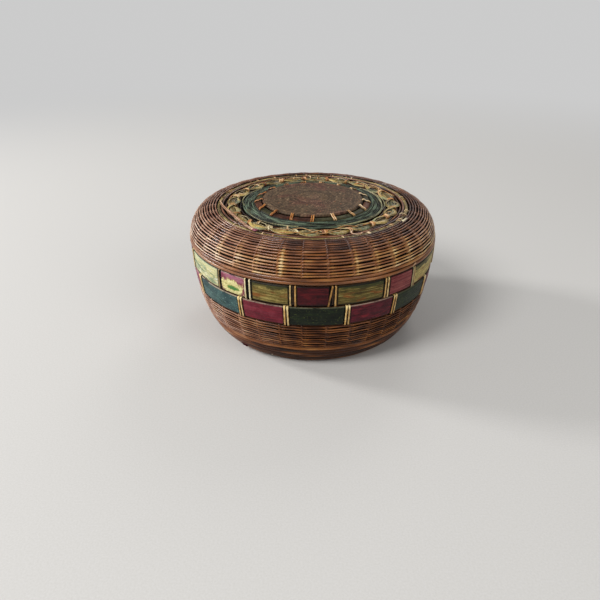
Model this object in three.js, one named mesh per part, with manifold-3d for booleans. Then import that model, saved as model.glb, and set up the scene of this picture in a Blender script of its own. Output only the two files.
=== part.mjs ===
// Lidded root basket: a flattened round basket whose domed lid lifts straight off.
// Millimetres, +Z up. The origin is on the table, under the centre of the foot.
// Angles are in degrees round the basket, 0 at the front (-Y), growing towards +X.

import * as THREE from "three";
import { mergeVertices } from "three/addons/utils/BufferGeometryUtils.js";
import Module from "manifold-3d";

const wasm = await Module();
wasm.setup();

// Outer form. Radii are given at the rim and inwards from there, heights from the table up.
const RIM_R = 100.5; // the widest ring, at the foot of the lid's shoulder
const RIM_LIP = 0.6; // how far the shoulder stands out over the lid's band
const LID_BAND_LEAN = 0.7;
const BASE_BAND_LEAN = 2.6;
const BOWL_REACH = 20.2; // from the foot out to the top of the bowl
const BOWL_HEIGHT = 41.7;
const BASE_BAND_HEIGHT = 17.6;
const LID_BAND_HEIGHT = 17.2;
const SHOULDER_HEIGHT = 26.2;
const CROWN_HEIGHT = 3.7; // of the centre disc's top above the shoulder's
const BOWL_POWER = 1.47; // of the superellipse: 1 is straight, 2 a true ellipse
const SHOULDER_POWER = 2.3;

// Gaps
const SEAT_GAP = 0.3; // between pieces that rest on each other
const WRAP_GAP = 0.25; // between a lashing and the edge that it turns over
const LAYER_GAP = 0.35; // between the curved layers of a rim

// Stakes and weave
const STAKES = 36;
const STAKE_WIDTH = 2.4;
const STAKE_THICKNESS = 0.9;
const WALL = 2.2; // depth of the weave, from the crest of a weaver to the inner skin
const ROW_PITCH = 2.32;
const LID_BORDER_PITCH = 2.86; // the stouter coils along an edge
const BASE_BORDER_PITCH = 3.75;
const LID_BORDER_ROWS = 2;
const BASE_BORDER_ROWS = 5;
const GROOVE = 1.1; // depth of the groove between two rows
const SWING_DEPTH = 0.4; // half the step from a weaver over a stake to one under it
const BOWL_STEPS = 2; // straight lengths that a stake's bend is made of
const SHOULDER_STEPS = 3;
const RIM_TURN = 3.5; // height over which a stake turns in under the hoop
const STAKE_TAIL = 6; // length of a stake's end behind the hoop

// Rim bands: painted panels over a hoop, tied by a lashing
const PANEL_THICKNESS = 0.9;
const PANEL_SPACING = 1.0; // between the ends of two panels, under the lashing
const PANEL_STEP_DEG = 7;
const HOOP_THICKNESS = 1.4;
const HOOP_FACETS = 48;
const LASH_WIDTH = 1.2;
const LASH_THICKNESS = 0.4;
const LID_TIE_WIDTH = 2.8; // between the two turns of a tie
const BASE_TIE_WIDTH = 1.6;
const TRAVEL_POINTS = 2; // where the strand behind the hoop bends between two ties

// Ties that the front shows, and the even ones round the back
const LID_FRONT_TIES_DEG = [-70.5, -44.2, -28.3, -8.9, 7.5, 31.6, 47.8, 76.2];
const LID_BACK_PANELS = 11;
const LID_MAROON_DEG = 15.1;
const BASE_FRONT_TIES_DEG = [-62.8, -33.2, -11.8, 14, 37.2, 61.5];
const BASE_BACK_PANELS = 9;
const BASE_MAROON_DEG = 24.6;

// Collar inside the base's rim
const COLLAR_THICKNESS = 1.6;
const COLLAR_RISE = 10; // above the split

// Crown of the lid, from the middle outwards
const DISC_R = 40.8;
const DISC_THICKNESS = 2.1;
const DISC_ROUNDING = 1.5;
const HUB_INSET = 2.8; // of the hub's edge under the disc's
const HUB_THICKNESS = 1.2;
const FLAT_RING_THICKNESS = 1.6;
const RING_SPACING = 0.4;
const BORDER_WIDTH = 5.5;
const GREEN_RING_WIDTH = 9.3;
const CROWN_FOOT_WIDTH = 0.6; // of the slope that shows outside the green ring
const OPENWORK_WAVES = 10; // each splint swings out and in this often, so they cross twice as often
const OPENWORK_SPACING = 0.9; // from the foot of the slope
const OPENWORK_SWING = 4.6;
const OPENWORK_LIFT = 0.75;
const OPENWORK_STEPS = 6; // straight lengths in one wave
const OPENWORK_TURN_DEG = 6; // from the front to the nearest crossing
const SPLINT_WIDTH = 4;
const SPLINT_THICKNESS = 0.8;
const INNER_COIL_SPACING = 1.1;
const INNER_COIL_SIZE = 1.6;
const OLIVE_RING_SPACING = 0.7;
const OLIVE_RING_WIDTH = 2.4;
const OLIVE_RING_THICKNESS = 1.4;
const SHOULDER_SPACING = 0.6; // from the olive ring to the first row of the shoulder

// Splint that has come loose: it lies from the olive ring over the openwork's edge and back
const LOOSE_START_DEG = -93;
const LOOSE_END_DEG = -34;
const LOOSE_WIDTH = 1.6;
const LOOSE_THICKNESS = 0.8;
const LOOSE_STEPS = 10;

// Floor and foot
const FOOT_WIDTH = 4.4;
const FOOT_HEIGHT = 3;
const FLOOR_RECESS = 0.8; // the floor's underside above the table

// Values that follow from the sizes above
const radians = THREE.MathUtils.degToRad;
const FULL_TURN_DEG = 360;
const STAKE_STEP_DEG = FULL_TURN_DEG / STAKES;

const LID_BAND_TOP_R = RIM_R - RIM_LIP;
const SPLIT_R = LID_BAND_TOP_R - LID_BAND_LEAN;
const BOWL_TOP_R = SPLIT_R - BASE_BAND_LEAN;
const FOOT_R = BOWL_TOP_R - BOWL_REACH;
const SPLIT_Z = BOWL_HEIGHT + BASE_BAND_HEIGHT;
const RIM_Z = SPLIT_Z + LID_BAND_HEIGHT;
const SHOULDER_TOP_Z = RIM_Z + SHOULDER_HEIGHT;
const DISC_TOP_Z = SHOULDER_TOP_Z + CROWN_HEIGHT;

const HUB_R = DISC_R - HUB_INSET;
const BORDER_INNER_R = DISC_R + RING_SPACING;
const BORDER_OUTER_R = BORDER_INNER_R + BORDER_WIDTH;
const GREEN_RING_INNER_R = BORDER_OUTER_R + RING_SPACING;
const GREEN_RING_OUTER_R = GREEN_RING_INNER_R + GREEN_RING_WIDTH;
const CROWN_FOOT_R = GREEN_RING_OUTER_R + CROWN_FOOT_WIDTH; // where the slope of the crown ends
const OPENWORK_REACH = OPENWORK_SWING + SPLINT_WIDTH / 2;
const OPENWORK_R = CROWN_FOOT_R + OPENWORK_SPACING + OPENWORK_REACH;
const INNER_COIL_R = OPENWORK_R + OPENWORK_REACH + INNER_COIL_SPACING + INNER_COIL_SIZE / 2;
const OLIVE_RING_INNER_R = INNER_COIL_R + INNER_COIL_SIZE / 2 + OLIVE_RING_SPACING;
const OLIVE_RING_OUTER_R = OLIVE_RING_INNER_R + OLIVE_RING_WIDTH;
const SHOULDER_TOP_R = OLIVE_RING_OUTER_R + SHOULDER_SPACING;

const STAKE_DEPTH = WALL + SEAT_GAP + STAKE_THICKNESS / 2; // of a stake's middle, under the crests
const HOOP_EDGE = WRAP_GAP * 2 + LASH_THICKNESS; // from a weave's edge to its hoop
const SPLIT_HALF = (LASH_THICKNESS * 2 + WRAP_GAP * 3) / 2; // both lashings fit between the hoops
const LID_STAKE_TOP_Z = SHOULDER_TOP_Z - WALL - SEAT_GAP;
const HUB_TOP_Z = DISC_TOP_Z - DISC_THICKNESS - SEAT_GAP;
const BASE_STAKE_Z = FOOT_HEIGHT + SEAT_GAP + STAKE_THICKNESS / 2;

const COLOURS = {
  weave: 0x7b4a2c,
  stake: 0xb08a55,
  disc: 0x4d3b34,
  green: 0x2f4a42,
  maroon: 0x6e2a33,
  olive: 0x8f8449,
  cane: 0xc09a4a,
  hoop: 0x6b4528,
};

// A quarter superellipse in the plane of radius and height. It leaves start level and reaches
// end upright.
class Superellipse extends THREE.Curve {
  constructor(start, end, power) {
    super();
    this.start = start;
    this.end = end;
    this.power = power;
  }

  getPoint(t, target = new THREE.Vector2()) {
    const angle = (t * Math.PI) / 2;
    const across = Math.sin(angle) ** (2 / this.power);
    const along = 1 - Math.max(Math.cos(angle), 0) ** (2 / this.power);
    return target.set(
      THREE.MathUtils.lerp(this.start.x, this.end.x, across),
      THREE.MathUtils.lerp(this.start.y, this.end.y, along),
    );
  }
}

// The point at fraction u of the curve's length, moved out of the basket by a distance.
// side is 1 where the curve runs down from the crown and -1 where it climbs from the foot.
function outward(curve, side, u, distance) {
  const point = curve.getPointAt(u);
  const tangent = curve.getTangentAt(u);
  return point.add(new THREE.Vector2(-tangent.y, tangent.x).multiplyScalar(side * distance));
}

// The fraction of the curve's length at which it stands at height z.
function fractionAtHeight(curve, z) {
  let low = 0;
  let high = 1;
  const rising = curve.end.y > curve.start.y;
  for (let halving = 0; halving < 40; halving++) {
    const middle = (low + high) / 2;
    const below = curve.getPointAt(middle).y < z;
    if (below === rising) low = middle;
    else high = middle;
  }
  return low;
}

function around(angleDeg, radius, z) {
  const angle = radians(angleDeg);
  return new THREE.Vector3(radius * Math.sin(angle), -radius * Math.cos(angle), z);
}

// A solid of revolution about +Z from a closed outline of radius and height.
function revolve(outline, facets) {
  const points = outline.map(([radius, z]) => new THREE.Vector2(radius, z));
  if (THREE.ShapeUtils.area(points) < 0) points.reverse();
  points.push(points[0].clone());
  return new THREE.LatheGeometry(points, facets).rotateX(Math.PI / 2);
}

function flatRing(innerRadius, outerRadius, bottom, thickness, facets = STAKES) {
  const outline = [
    [innerRadius, bottom(innerRadius)],
    [outerRadius, bottom(outerRadius)],
    [outerRadius, bottom(outerRadius) + thickness],
    [innerRadius, bottom(innerRadius) + thickness],
  ];
  return revolve(outline, facets);
}

// A skin over a row of cross sections with the same number of corners, joined end to end or
// capped at both ends.
function loft(sections, closed) {
  const corners = sections[0].length;
  const positions = sections.flat().flatMap((corner) => corner.toArray());
  const index = [];
  const spans = closed ? sections.length : sections.length - 1;
  for (let i = 0; i < spans; i++) {
    const here = i * corners;
    const next = ((i + 1) % sections.length) * corners;
    for (let j = 0; j < corners; j++) {
      const k = (j + 1) % corners;
      index.push(here + j, next + k, next + j);
      index.push(here + j, here + k, next + k);
    }
  }
  if (!closed) {
    const last = (sections.length - 1) * corners;
    for (let j = 1; j < corners - 1; j++) {
      index.push(0, j + 1, j);
      index.push(last, last + j, last + j + 1);
    }
  }
  const geometry = new THREE.BufferGeometry();
  geometry.setAttribute("position", new THREE.Float32BufferAttribute(positions, 3));
  geometry.setIndex(index);
  return geometry;
}

function toSolid(geometry) {
  const bare = geometry.clone();
  bare.deleteAttribute("normal");
  bare.deleteAttribute("uv");
  const merged = mergeVertices(bare, 1e-4);
  const mesh = new wasm.Mesh({
    numProp: 3,
    vertProperties: merged.attributes.position.array,
    triVerts: new Uint32Array(merged.index.array),
  });
  return new wasm.Manifold(mesh);
}

function toGeometry(solid) {
  const mesh = solid.getMesh();
  const geometry = new THREE.BufferGeometry();
  geometry.setAttribute("position", new THREE.BufferAttribute(mesh.vertProperties, 3));
  geometry.setIndex(new THREE.BufferAttribute(mesh.triVerts, 1));
  return geometry;
}

function piece(name, geometry, colour, roughness = 0.7) {
  const flat = geometry.index ? geometry.toNonIndexed() : geometry;
  flat.computeVertexNormals();
  const material = new THREE.MeshStandardMaterial({ color: COLOURS[colour], roughness, metalness: 0 });
  const mesh = new THREE.Mesh(flat, material);
  mesh.name = name;
  return mesh;
}

// A line of few straight lengths at a depth under the wall's crests, up to where the stakes
// turn in to the rim.
function bendLine({ curve, side, from, turnAt, steps }, depth) {
  const points = [];
  for (let step = 0; step <= steps; step++) {
    const u = THREE.MathUtils.lerp(from, turnAt, step / steps);
    points.push(outward(curve, side, u, -depth));
  }
  return points;
}

// Weave: one shell of revolution with a groove between each two rows. On every row the weaver
// stands proud where it passes over a stake and sinks where it passes under, and the next row
// does the opposite.
function weave(wall, borderRows) {
  const { curve, side, from } = wall;
  const length = curve.getLength();
  const plainLength = (1 - from) * length - borderRows.count * borderRows.pitch;
  const plainRows = Math.max(1, Math.round(plainLength / ROW_PITCH));
  const plain = Array(plainRows).fill(plainLength / plainRows);
  const border = Array(borderRows.count).fill(borderRows.pitch);
  const rows = borderRows.first ? [...border, ...plain] : [...plain, ...border];

  const outline = [];
  const crests = new Map();
  let start = from * length;
  const place = (distance, depth) => outward(curve, side, Math.min(distance / length, 1), -depth);
  outline.push(place(start, GROOVE));
  rows.forEach((height, row) => {
    const middle = start + height / 2;
    const up = place(middle, 0).sub(place(middle, 1));
    crests.set(outline.length, { row, up });
    outline.push(place(middle, SWING_DEPTH));
    start += height;
    outline.push(place(start, GROOVE));
  });
  outline.push(outward(curve, side, 1, -WALL));
  outline.push(...bendLine(wall, WALL).reverse());
  outline.push(outline[0].clone());

  const inPlace = side < 0;
  const ordered = inPlace ? outline : [...outline].reverse();
  const geometry = new THREE.LatheGeometry(ordered, STAKES);
  const position = geometry.attributes.position;
  for (let stake = 0; stake <= STAKES; stake++) {
    for (const [index, { row, up }] of crests) {
      const ring = inPlace ? index : ordered.length - 1 - index;
      const over = (stake + row) % 2 === 0 ? SWING_DEPTH : -SWING_DEPTH;
      const vertex = stake * ordered.length + ring;
      const angle = radians(stake * STAKE_STEP_DEG);
      position.setX(vertex, position.getX(vertex) + over * up.x * Math.sin(angle));
      position.setZ(vertex, position.getZ(vertex) + over * up.x * Math.cos(angle));
      position.setY(vertex, position.getY(vertex) + over * up.y);
    }
  }
  return geometry.rotateX(Math.PI / 2);
}

// The outline of a strip of even thickness along a bent line.
function stripOutline(line, thickness) {
  const sides = [[], []];
  line.forEach((point, i) => {
    const before = point.clone().sub(line[Math.max(i - 1, 0)]);
    const after = line[Math.min(i + 1, line.length - 1)].clone().sub(point);
    const into = (i > 0 ? before : after).clone().normalize();
    const away = (i < line.length - 1 ? after : before).clone().normalize();
    const along = into.clone().add(away).normalize();
    const across = new THREE.Vector2(-along.y, along.x);
    across.multiplyScalar(thickness / 2 / along.dot(into));
    sides[0].push(point.clone().add(across));
    sides[1].unshift(point.clone().sub(across));
  });
  return [...sides[0], ...sides[1]];
}

// Frame of stakes: flat stakes that run out from a hub along the same bent line.
function stakeFrame(line, hubTop) {
  const outline = new THREE.Shape(stripOutline(line, STAKE_THICKNESS));
  const stake = new THREE.ExtrudeGeometry(outline, { depth: STAKE_WIDTH, bevelEnabled: false });
  stake.translate(0, 0, -STAKE_WIDTH / 2);
  stake.rotateX(Math.PI / 2);
  const hub = [
    [0, hubTop - HUB_THICKNESS],
    [HUB_R, hubTop - HUB_THICKNESS],
    [HUB_R, hubTop],
    [0, hubTop],
  ];
  let frame = toSolid(revolve(hub, STAKES));
  for (let i = 0; i < STAKES; i++) {
    const turned = stake.clone().rotateZ(radians(i * STAKE_STEP_DEG - 90));
    frame = frame.add(toSolid(turned));
  }
  return toGeometry(frame);
}

// Rim band: a painted outer face between two rings, with the layers behind it.
class Band {
  constructor(low, high, hoopLow, hoopHigh) {
    this.low = low;
    this.high = high;
    this.hoopLow = hoopLow;
    this.hoopHigh = hoopHigh;
  }

  faceRadius(z) {
    const share = (z - this.low.y) / (this.high.y - this.low.y);
    return THREE.MathUtils.lerp(this.low.x, this.high.x, share);
  }

  hoopOuterRadius(z) {
    return this.faceRadius(z) - PANEL_THICKNESS - LAYER_GAP;
  }

  lashInnerRadius(z) {
    return this.hoopOuterRadius(z) - HOOP_THICKNESS - LAYER_GAP - LASH_THICKNESS;
  }

  stakeRadius(z) {
    return this.lashInnerRadius(z) - LAYER_GAP - STAKE_THICKNESS / 2;
  }

  hoop() {
    const outline = [
      [this.hoopOuterRadius(this.hoopLow) - HOOP_THICKNESS, this.hoopLow],
      [this.hoopOuterRadius(this.hoopLow), this.hoopLow],
      [this.hoopOuterRadius(this.hoopHigh), this.hoopHigh],
      [this.hoopOuterRadius(this.hoopHigh) - HOOP_THICKNESS, this.hoopHigh],
    ];
    return revolve(outline, HOOP_FACETS);
  }

  panel(spanDeg) {
    const steps = Math.max(1, Math.ceil(spanDeg / PANEL_STEP_DEG));
    const sections = [];
    for (let i = 0; i <= steps; i++) {
      const angle = spanDeg * (i / steps - 0.5);
      sections.push([
        around(angle, this.faceRadius(this.hoopLow), this.hoopLow),
        around(angle, this.faceRadius(this.hoopLow) - PANEL_THICKNESS, this.hoopLow),
        around(angle, this.faceRadius(this.hoopHigh) - PANEL_THICKNESS, this.hoopHigh),
        around(angle, this.faceRadius(this.hoopHigh), this.hoopHigh),
      ]);
    }
    return loft(sections, false);
  }

  // One strand that runs behind the hoop and takes two turns over hoop and panels at each tie.
  lashing(ties, turnSpacing) {
    const half = LASH_THICKNESS / 2;
    const topZ = this.hoopHigh + WRAP_GAP + half;
    const bottomZ = this.hoopLow - WRAP_GAP - half;
    const middleZ = (this.hoopLow + this.hoopHigh) / 2;
    const outRadius = (z) => this.faceRadius(z) + LAYER_GAP + half;
    const inRadius = (z) => this.lashInnerRadius(z) + half;
    const turnDeg = THREE.MathUtils.radToDeg(turnSpacing / this.faceRadius(middleZ)) / 2;

    // A corner of a turn: the strand's width lies round the basket.
    const corner = (angle, radius, z, out, up) => {
      const widthDeg = THREE.MathUtils.radToDeg(LASH_WIDTH / 2 / radius);
      return [
        around(angle - widthDeg, radius - out * half, z - up * half),
        around(angle + widthDeg, radius - out * half, z - up * half),
        around(angle + widthDeg, radius + out * half, z + up * half),
        around(angle - widthDeg, radius + out * half, z + up * half),
      ];
    };
    const turn = (angle) => [
      corner(angle, inRadius(topZ), topZ, -1, 1),
      corner(angle, outRadius(topZ), topZ, 1, 1),
      corner(angle, outRadius(bottomZ), bottomZ, 1, -1),
      corner(angle, inRadius(bottomZ), bottomZ, -1, -1),
    ];
    // Between two ties the strand lies flat behind the hoop, its width upright.
    const travel = (angle) => {
      const radius = inRadius(middleZ);
      return [
        around(angle, radius + half, middleZ + LASH_WIDTH / 2),
        around(angle, radius + half, middleZ - LASH_WIDTH / 2),
        around(angle, radius - half, middleZ - LASH_WIDTH / 2),
        around(angle, radius - half, middleZ + LASH_WIDTH / 2),
      ];
    };

    const sections = [];
    ties.forEach((tie, i) => {
      const next = i + 1 < ties.length ? ties[i + 1] : ties[0] + FULL_TURN_DEG;
      sections.push(...turn(tie - turnDeg), ...turn(tie + turnDeg));
      for (let k = 1; k <= TRAVEL_POINTS; k++) {
        sections.push(travel(THREE.MathUtils.lerp(tie, next, k / (TRAVEL_POINTS + 1))));
      }
    });
    return loft(sections, true);
  }
}

// All ties of a band: those at the front, then back panels of two widths in turn.
function allTies(frontTies, backPanels, maroonSpan) {
  const ties = [...frontTies];
  const toFill = FULL_TURN_DEG - (frontTies.at(-1) - frontTies[0]);
  const maroonCount = Math.ceil(backPanels / 2);
  const otherSpan = (toFill - maroonCount * maroonSpan) / (backPanels - maroonCount);
  for (let i = 0; i < backPanels - 1; i++) {
    ties.push(ties.at(-1) + (i % 2 === 0 ? maroonSpan : otherSpan));
  }
  return ties;
}

// Painted panels, one between each two ties, in two colours that take turns.
function addPanels(group, prefix, band, ties, colours) {
  const gapDeg = THREE.MathUtils.radToDeg(PANEL_SPACING / SPLIT_R);
  ties.forEach((tie, i) => {
    const next = i + 1 < ties.length ? ties[i + 1] : ties[0] + FULL_TURN_DEG;
    const colour = colours[i % 2];
    const name = `${prefix}_panel_${String(i + 1).padStart(2, "0")}_${colour}`;
    const panel = piece(name, band.panel(next - tie - gapDeg), colour, 0.5);
    panel.rotation.z = radians((tie + next) / 2);
    group.add(panel);
  });
}

// Openwork: two flat splints wind round each other along a circle. direction is 1 or -1.
function openworkSplint(direction, middleZ) {
  const half = SPLINT_THICKNESS / 2;
  const level = () => middleZ - half;
  const facets = OPENWORK_WAVES * OPENWORK_STEPS;
  const inner = OPENWORK_R - SPLINT_WIDTH / 2;
  const outer = OPENWORK_R + SPLINT_WIDTH / 2;
  const geometry = flatRing(inner, outer, level, SPLINT_THICKNESS, facets);
  const position = geometry.attributes.position;
  const corner = new THREE.Vector3();
  for (let i = 0; i < position.count; i++) {
    corner.fromBufferAttribute(position, i);
    const angle = Math.atan2(corner.x, -corner.y) - radians(OPENWORK_TURN_DEG);
    const phase = OPENWORK_WAVES * angle;
    const radius = Math.hypot(corner.x, corner.y);
    const moved = (radius + direction * OPENWORK_SWING * Math.sin(phase)) / radius;
    const z = corner.z + direction * OPENWORK_LIFT * Math.cos(phase);
    position.setXYZ(i, corner.x * moved, corner.y * moved, z);
  }
  return geometry;
}

// Loose splint: a flat strip between two places on a ring, bowed in towards a smaller radius.
function looseSplint(ringRadius, ringZ, bowRadius, bowZ) {
  const sections = [];
  for (let i = 0; i <= LOOSE_STEPS; i++) {
    const share = i / LOOSE_STEPS;
    const bow = Math.sin(share * Math.PI);
    const angle = THREE.MathUtils.lerp(LOOSE_START_DEG, LOOSE_END_DEG, share);
    const radius = THREE.MathUtils.lerp(ringRadius, bowRadius, bow);
    const z = THREE.MathUtils.lerp(ringZ, bowZ, bow);
    sections.push([
      around(angle, radius + LOOSE_WIDTH / 2, z - LOOSE_THICKNESS / 2),
      around(angle, radius - LOOSE_WIDTH / 2, z - LOOSE_THICKNESS / 2),
      around(angle, radius - LOOSE_WIDTH / 2, z + LOOSE_THICKNESS / 2),
      around(angle, radius + LOOSE_WIDTH / 2, z + LOOSE_THICKNESS / 2),
    ]);
  }
  return loft(sections, false);
}

const bowl = new Superellipse(
  new THREE.Vector2(FOOT_R, 0),
  new THREE.Vector2(BOWL_TOP_R, BOWL_HEIGHT),
  BOWL_POWER,
);
const shoulder = new Superellipse(
  new THREE.Vector2(SHOULDER_TOP_R, SHOULDER_TOP_Z),
  new THREE.Vector2(RIM_R, RIM_Z),
  SHOULDER_POWER,
);
const baseBand = new Band(
  new THREE.Vector2(BOWL_TOP_R, BOWL_HEIGHT),
  new THREE.Vector2(SPLIT_R, SPLIT_Z),
  BOWL_HEIGHT + HOOP_EDGE,
  SPLIT_Z - SPLIT_HALF,
);
const lidBand = new Band(
  new THREE.Vector2(SPLIT_R, SPLIT_Z),
  new THREE.Vector2(LID_BAND_TOP_R, RIM_Z),
  SPLIT_Z + SPLIT_HALF,
  RIM_Z - HOOP_EDGE,
);

function buildBase() {
  const base = new THREE.Group();
  const wall = {
    curve: bowl,
    side: -1,
    from: fractionAtHeight(bowl, FOOT_HEIGHT + SEAT_GAP),
    turnAt: fractionAtHeight(bowl, BOWL_HEIGHT - RIM_TURN),
    steps: BOWL_STEPS,
  };
  const borderRows = { count: BASE_BORDER_ROWS, pitch: BASE_BORDER_PITCH, first: true };
  base.add(piece("base_weave", weave(wall, borderRows), "weave"));

  // The stakes lie on the floor and turn up where the line of the wall meets it.
  const [foot, ...bend] = bendLine(wall, STAKE_DEPTH);
  const rise = bend[0].clone().sub(foot);
  const floorEnd = foot.x - ((foot.y - BASE_STAKE_Z) * rise.x) / rise.y;
  const tailZ = baseBand.hoopLow + STAKE_TAIL;
  const line = [
    new THREE.Vector2(HUB_R - STAKE_WIDTH, BASE_STAKE_Z),
    new THREE.Vector2(floorEnd, BASE_STAKE_Z),
    ...bend,
    new THREE.Vector2(baseBand.stakeRadius(BOWL_HEIGHT), BOWL_HEIGHT),
    new THREE.Vector2(baseBand.stakeRadius(tailZ), tailZ),
  ];
  const hubTop = FOOT_HEIGHT + SEAT_GAP + HUB_THICKNESS;
  base.add(piece("base_stakes", stakeFrame(line, hubTop), "stake"));

  const floorR = FOOT_R - FOOT_WIDTH - SEAT_GAP;
  const floor = [
    [0, FLOOR_RECESS],
    [floorR, FLOOR_RECESS],
    [floorR, FOOT_HEIGHT],
    [0, FOOT_HEIGHT],
  ];
  base.add(piece("base_floor", revolve(floor, STAKES), "weave"));

  const footOuter = bowl.getPointAt(fractionAtHeight(bowl, FOOT_HEIGHT)).x;
  const footRing = [
    [FOOT_R - FOOT_WIDTH, 0],
    [FOOT_R, 0],
    [(FOOT_R + footOuter) / 2 + SWING_DEPTH, FOOT_HEIGHT / 3],
    [footOuter, FOOT_HEIGHT],
    [FOOT_R - FOOT_WIDTH, FOOT_HEIGHT],
  ];
  base.add(piece("foot_ring", revolve(footRing, STAKES), "weave"));

  base.add(piece("base_hoop", baseBand.hoop(), "hoop"));
  const collarLow = tailZ + SEAT_GAP + STAKE_THICKNESS;
  const collarOuter = baseBand.lashInnerRadius(collarLow) - LAYER_GAP;
  const collarHeight = SPLIT_Z + COLLAR_RISE - collarLow;
  const collar = flatRing(
    collarOuter - COLLAR_THICKNESS,
    collarOuter,
    () => collarLow,
    collarHeight,
    HOOP_FACETS,
  );
  base.add(piece("collar", collar, "hoop"));

  const ties = allTies(BASE_FRONT_TIES_DEG, BASE_BACK_PANELS, BASE_MAROON_DEG);
  addPanels(base, "base", baseBand, ties, ["green", "maroon"]);
  base.add(piece("base_lashing", baseBand.lashing(ties, BASE_TIE_WIDTH), "cane", 0.35));
  return base;
}

function buildLid() {
  const lid = new THREE.Group();
  const wall = {
    curve: shoulder,
    side: 1,
    from: 0,
    turnAt: fractionAtHeight(shoulder, RIM_Z + RIM_TURN),
    steps: SHOULDER_STEPS,
  };
  const borderRows = { count: LID_BORDER_ROWS, pitch: LID_BORDER_PITCH, first: false };
  lid.add(piece("lid_weave", weave(wall, borderRows), "weave"));

  // The stakes slope down from the hub, pass level under the openwork and bend down the shoulder.
  const hubMiddleZ = HUB_TOP_Z - HUB_THICKNESS / 2;
  const flatMiddleZ = LID_STAKE_TOP_Z - STAKE_THICKNESS / 2;
  const tailZ = lidBand.hoopHigh - STAKE_TAIL;
  const line = [
    new THREE.Vector2(HUB_R - STAKE_WIDTH, hubMiddleZ),
    new THREE.Vector2(CROWN_FOOT_R, flatMiddleZ),
    ...bendLine(wall, STAKE_DEPTH),
    new THREE.Vector2(lidBand.stakeRadius(RIM_Z), RIM_Z),
    new THREE.Vector2(lidBand.stakeRadius(tailZ), tailZ),
  ];
  lid.add(piece("lid_stakes", stakeFrame(line, HUB_TOP_Z), "stake"));

  const discBottom = HUB_TOP_Z + SEAT_GAP;
  const disc = [
    [0, discBottom],
    [DISC_R, discBottom],
    [DISC_R, DISC_TOP_Z - DISC_ROUNDING / 2],
    [DISC_R - DISC_ROUNDING, DISC_TOP_Z],
    [0, DISC_TOP_Z],
  ];
  lid.add(piece("centre_disc", revolve(disc, STAKES), "disc"));

  // The flat rings lie on the stakes: on the slope of the crown, then on the level.
  const [slopeStart, slopeEnd] = line;
  const ringBed = (radius) => {
    const share = Math.min((radius - slopeStart.x) / (slopeEnd.x - slopeStart.x), 1);
    const middleZ = THREE.MathUtils.lerp(slopeStart.y, slopeEnd.y, share);
    return middleZ + STAKE_THICKNESS / 2 + SEAT_GAP;
  };
  const border = flatRing(BORDER_INNER_R, BORDER_OUTER_R, ringBed, FLAT_RING_THICKNESS);
  lid.add(piece("disc_border", border, "maroon"));
  const green = flatRing(GREEN_RING_INNER_R, GREEN_RING_OUTER_R, ringBed, FLAT_RING_THICKNESS);
  lid.add(piece("green_ring", green, "green"));

  const openworkZ = ringBed(OPENWORK_R) + OPENWORK_LIFT + SPLINT_THICKNESS / 2;
  lid.add(piece("openwork_splint_a", openworkSplint(1, openworkZ), "olive"));
  lid.add(piece("openwork_splint_b", openworkSplint(-1, openworkZ), "olive"));

  const coilInner = INNER_COIL_R - INNER_COIL_SIZE / 2;
  const coilOuter = INNER_COIL_R + INNER_COIL_SIZE / 2;
  lid.add(piece("inner_coil", flatRing(coilInner, coilOuter, ringBed, INNER_COIL_SIZE), "weave"));
  const oliveRing = flatRing(OLIVE_RING_INNER_R, OLIVE_RING_OUTER_R, ringBed, OLIVE_RING_THICKNESS);
  lid.add(piece("olive_ring", oliveRing, "olive"));

  const clearOf = SEAT_GAP + LOOSE_THICKNESS / 2;
  const oliveMiddle = (OLIVE_RING_INNER_R + OLIVE_RING_OUTER_R) / 2;
  const oliveTop = ringBed(oliveMiddle) + OLIVE_RING_THICKNESS;
  const openworkTop = openworkZ + OPENWORK_LIFT + SPLINT_THICKNESS / 2;
  const openworkEdge = OPENWORK_R + OPENWORK_SWING;
  const loose = looseSplint(oliveMiddle, oliveTop + clearOf, openworkEdge, openworkTop + clearOf);
  lid.add(piece("loose_splint", loose, "cane"));

  lid.add(piece("lid_hoop", lidBand.hoop(), "hoop"));
  const ties = allTies(LID_FRONT_TIES_DEG, LID_BACK_PANELS, LID_MAROON_DEG);
  addPanels(lid, "lid", lidBand, ties, ["olive", "maroon"]);
  lid.add(piece("lid_lashing", lidBand.lashing(ties, LID_TIE_WIDTH), "cane", 0.35));
  return lid;
}

const basket = new THREE.Group();
basket.add(buildBase(), buildLid());

export default basket;
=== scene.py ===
import math
import bpy
import numpy as np
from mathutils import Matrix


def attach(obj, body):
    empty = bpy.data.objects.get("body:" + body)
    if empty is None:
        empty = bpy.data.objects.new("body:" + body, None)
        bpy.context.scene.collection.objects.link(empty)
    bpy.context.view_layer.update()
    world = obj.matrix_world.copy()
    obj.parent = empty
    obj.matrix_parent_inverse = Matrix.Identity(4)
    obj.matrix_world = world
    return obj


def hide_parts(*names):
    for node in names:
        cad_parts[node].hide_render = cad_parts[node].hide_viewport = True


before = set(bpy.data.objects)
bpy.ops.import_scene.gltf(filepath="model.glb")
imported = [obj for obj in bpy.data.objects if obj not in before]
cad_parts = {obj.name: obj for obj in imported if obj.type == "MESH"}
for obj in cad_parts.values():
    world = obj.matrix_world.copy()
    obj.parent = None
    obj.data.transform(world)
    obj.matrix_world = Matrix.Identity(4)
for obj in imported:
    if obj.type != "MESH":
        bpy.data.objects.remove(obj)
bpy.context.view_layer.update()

# Lengths are in millimetres until a mesh is made. Angles are in degrees round the basket,
# 0 at the front (-Y) and growing towards +X. A corner of the outline is a radius and a height.
MM = 0.001
FULL_TURN = 360
rng = np.random.default_rng(20)

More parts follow.
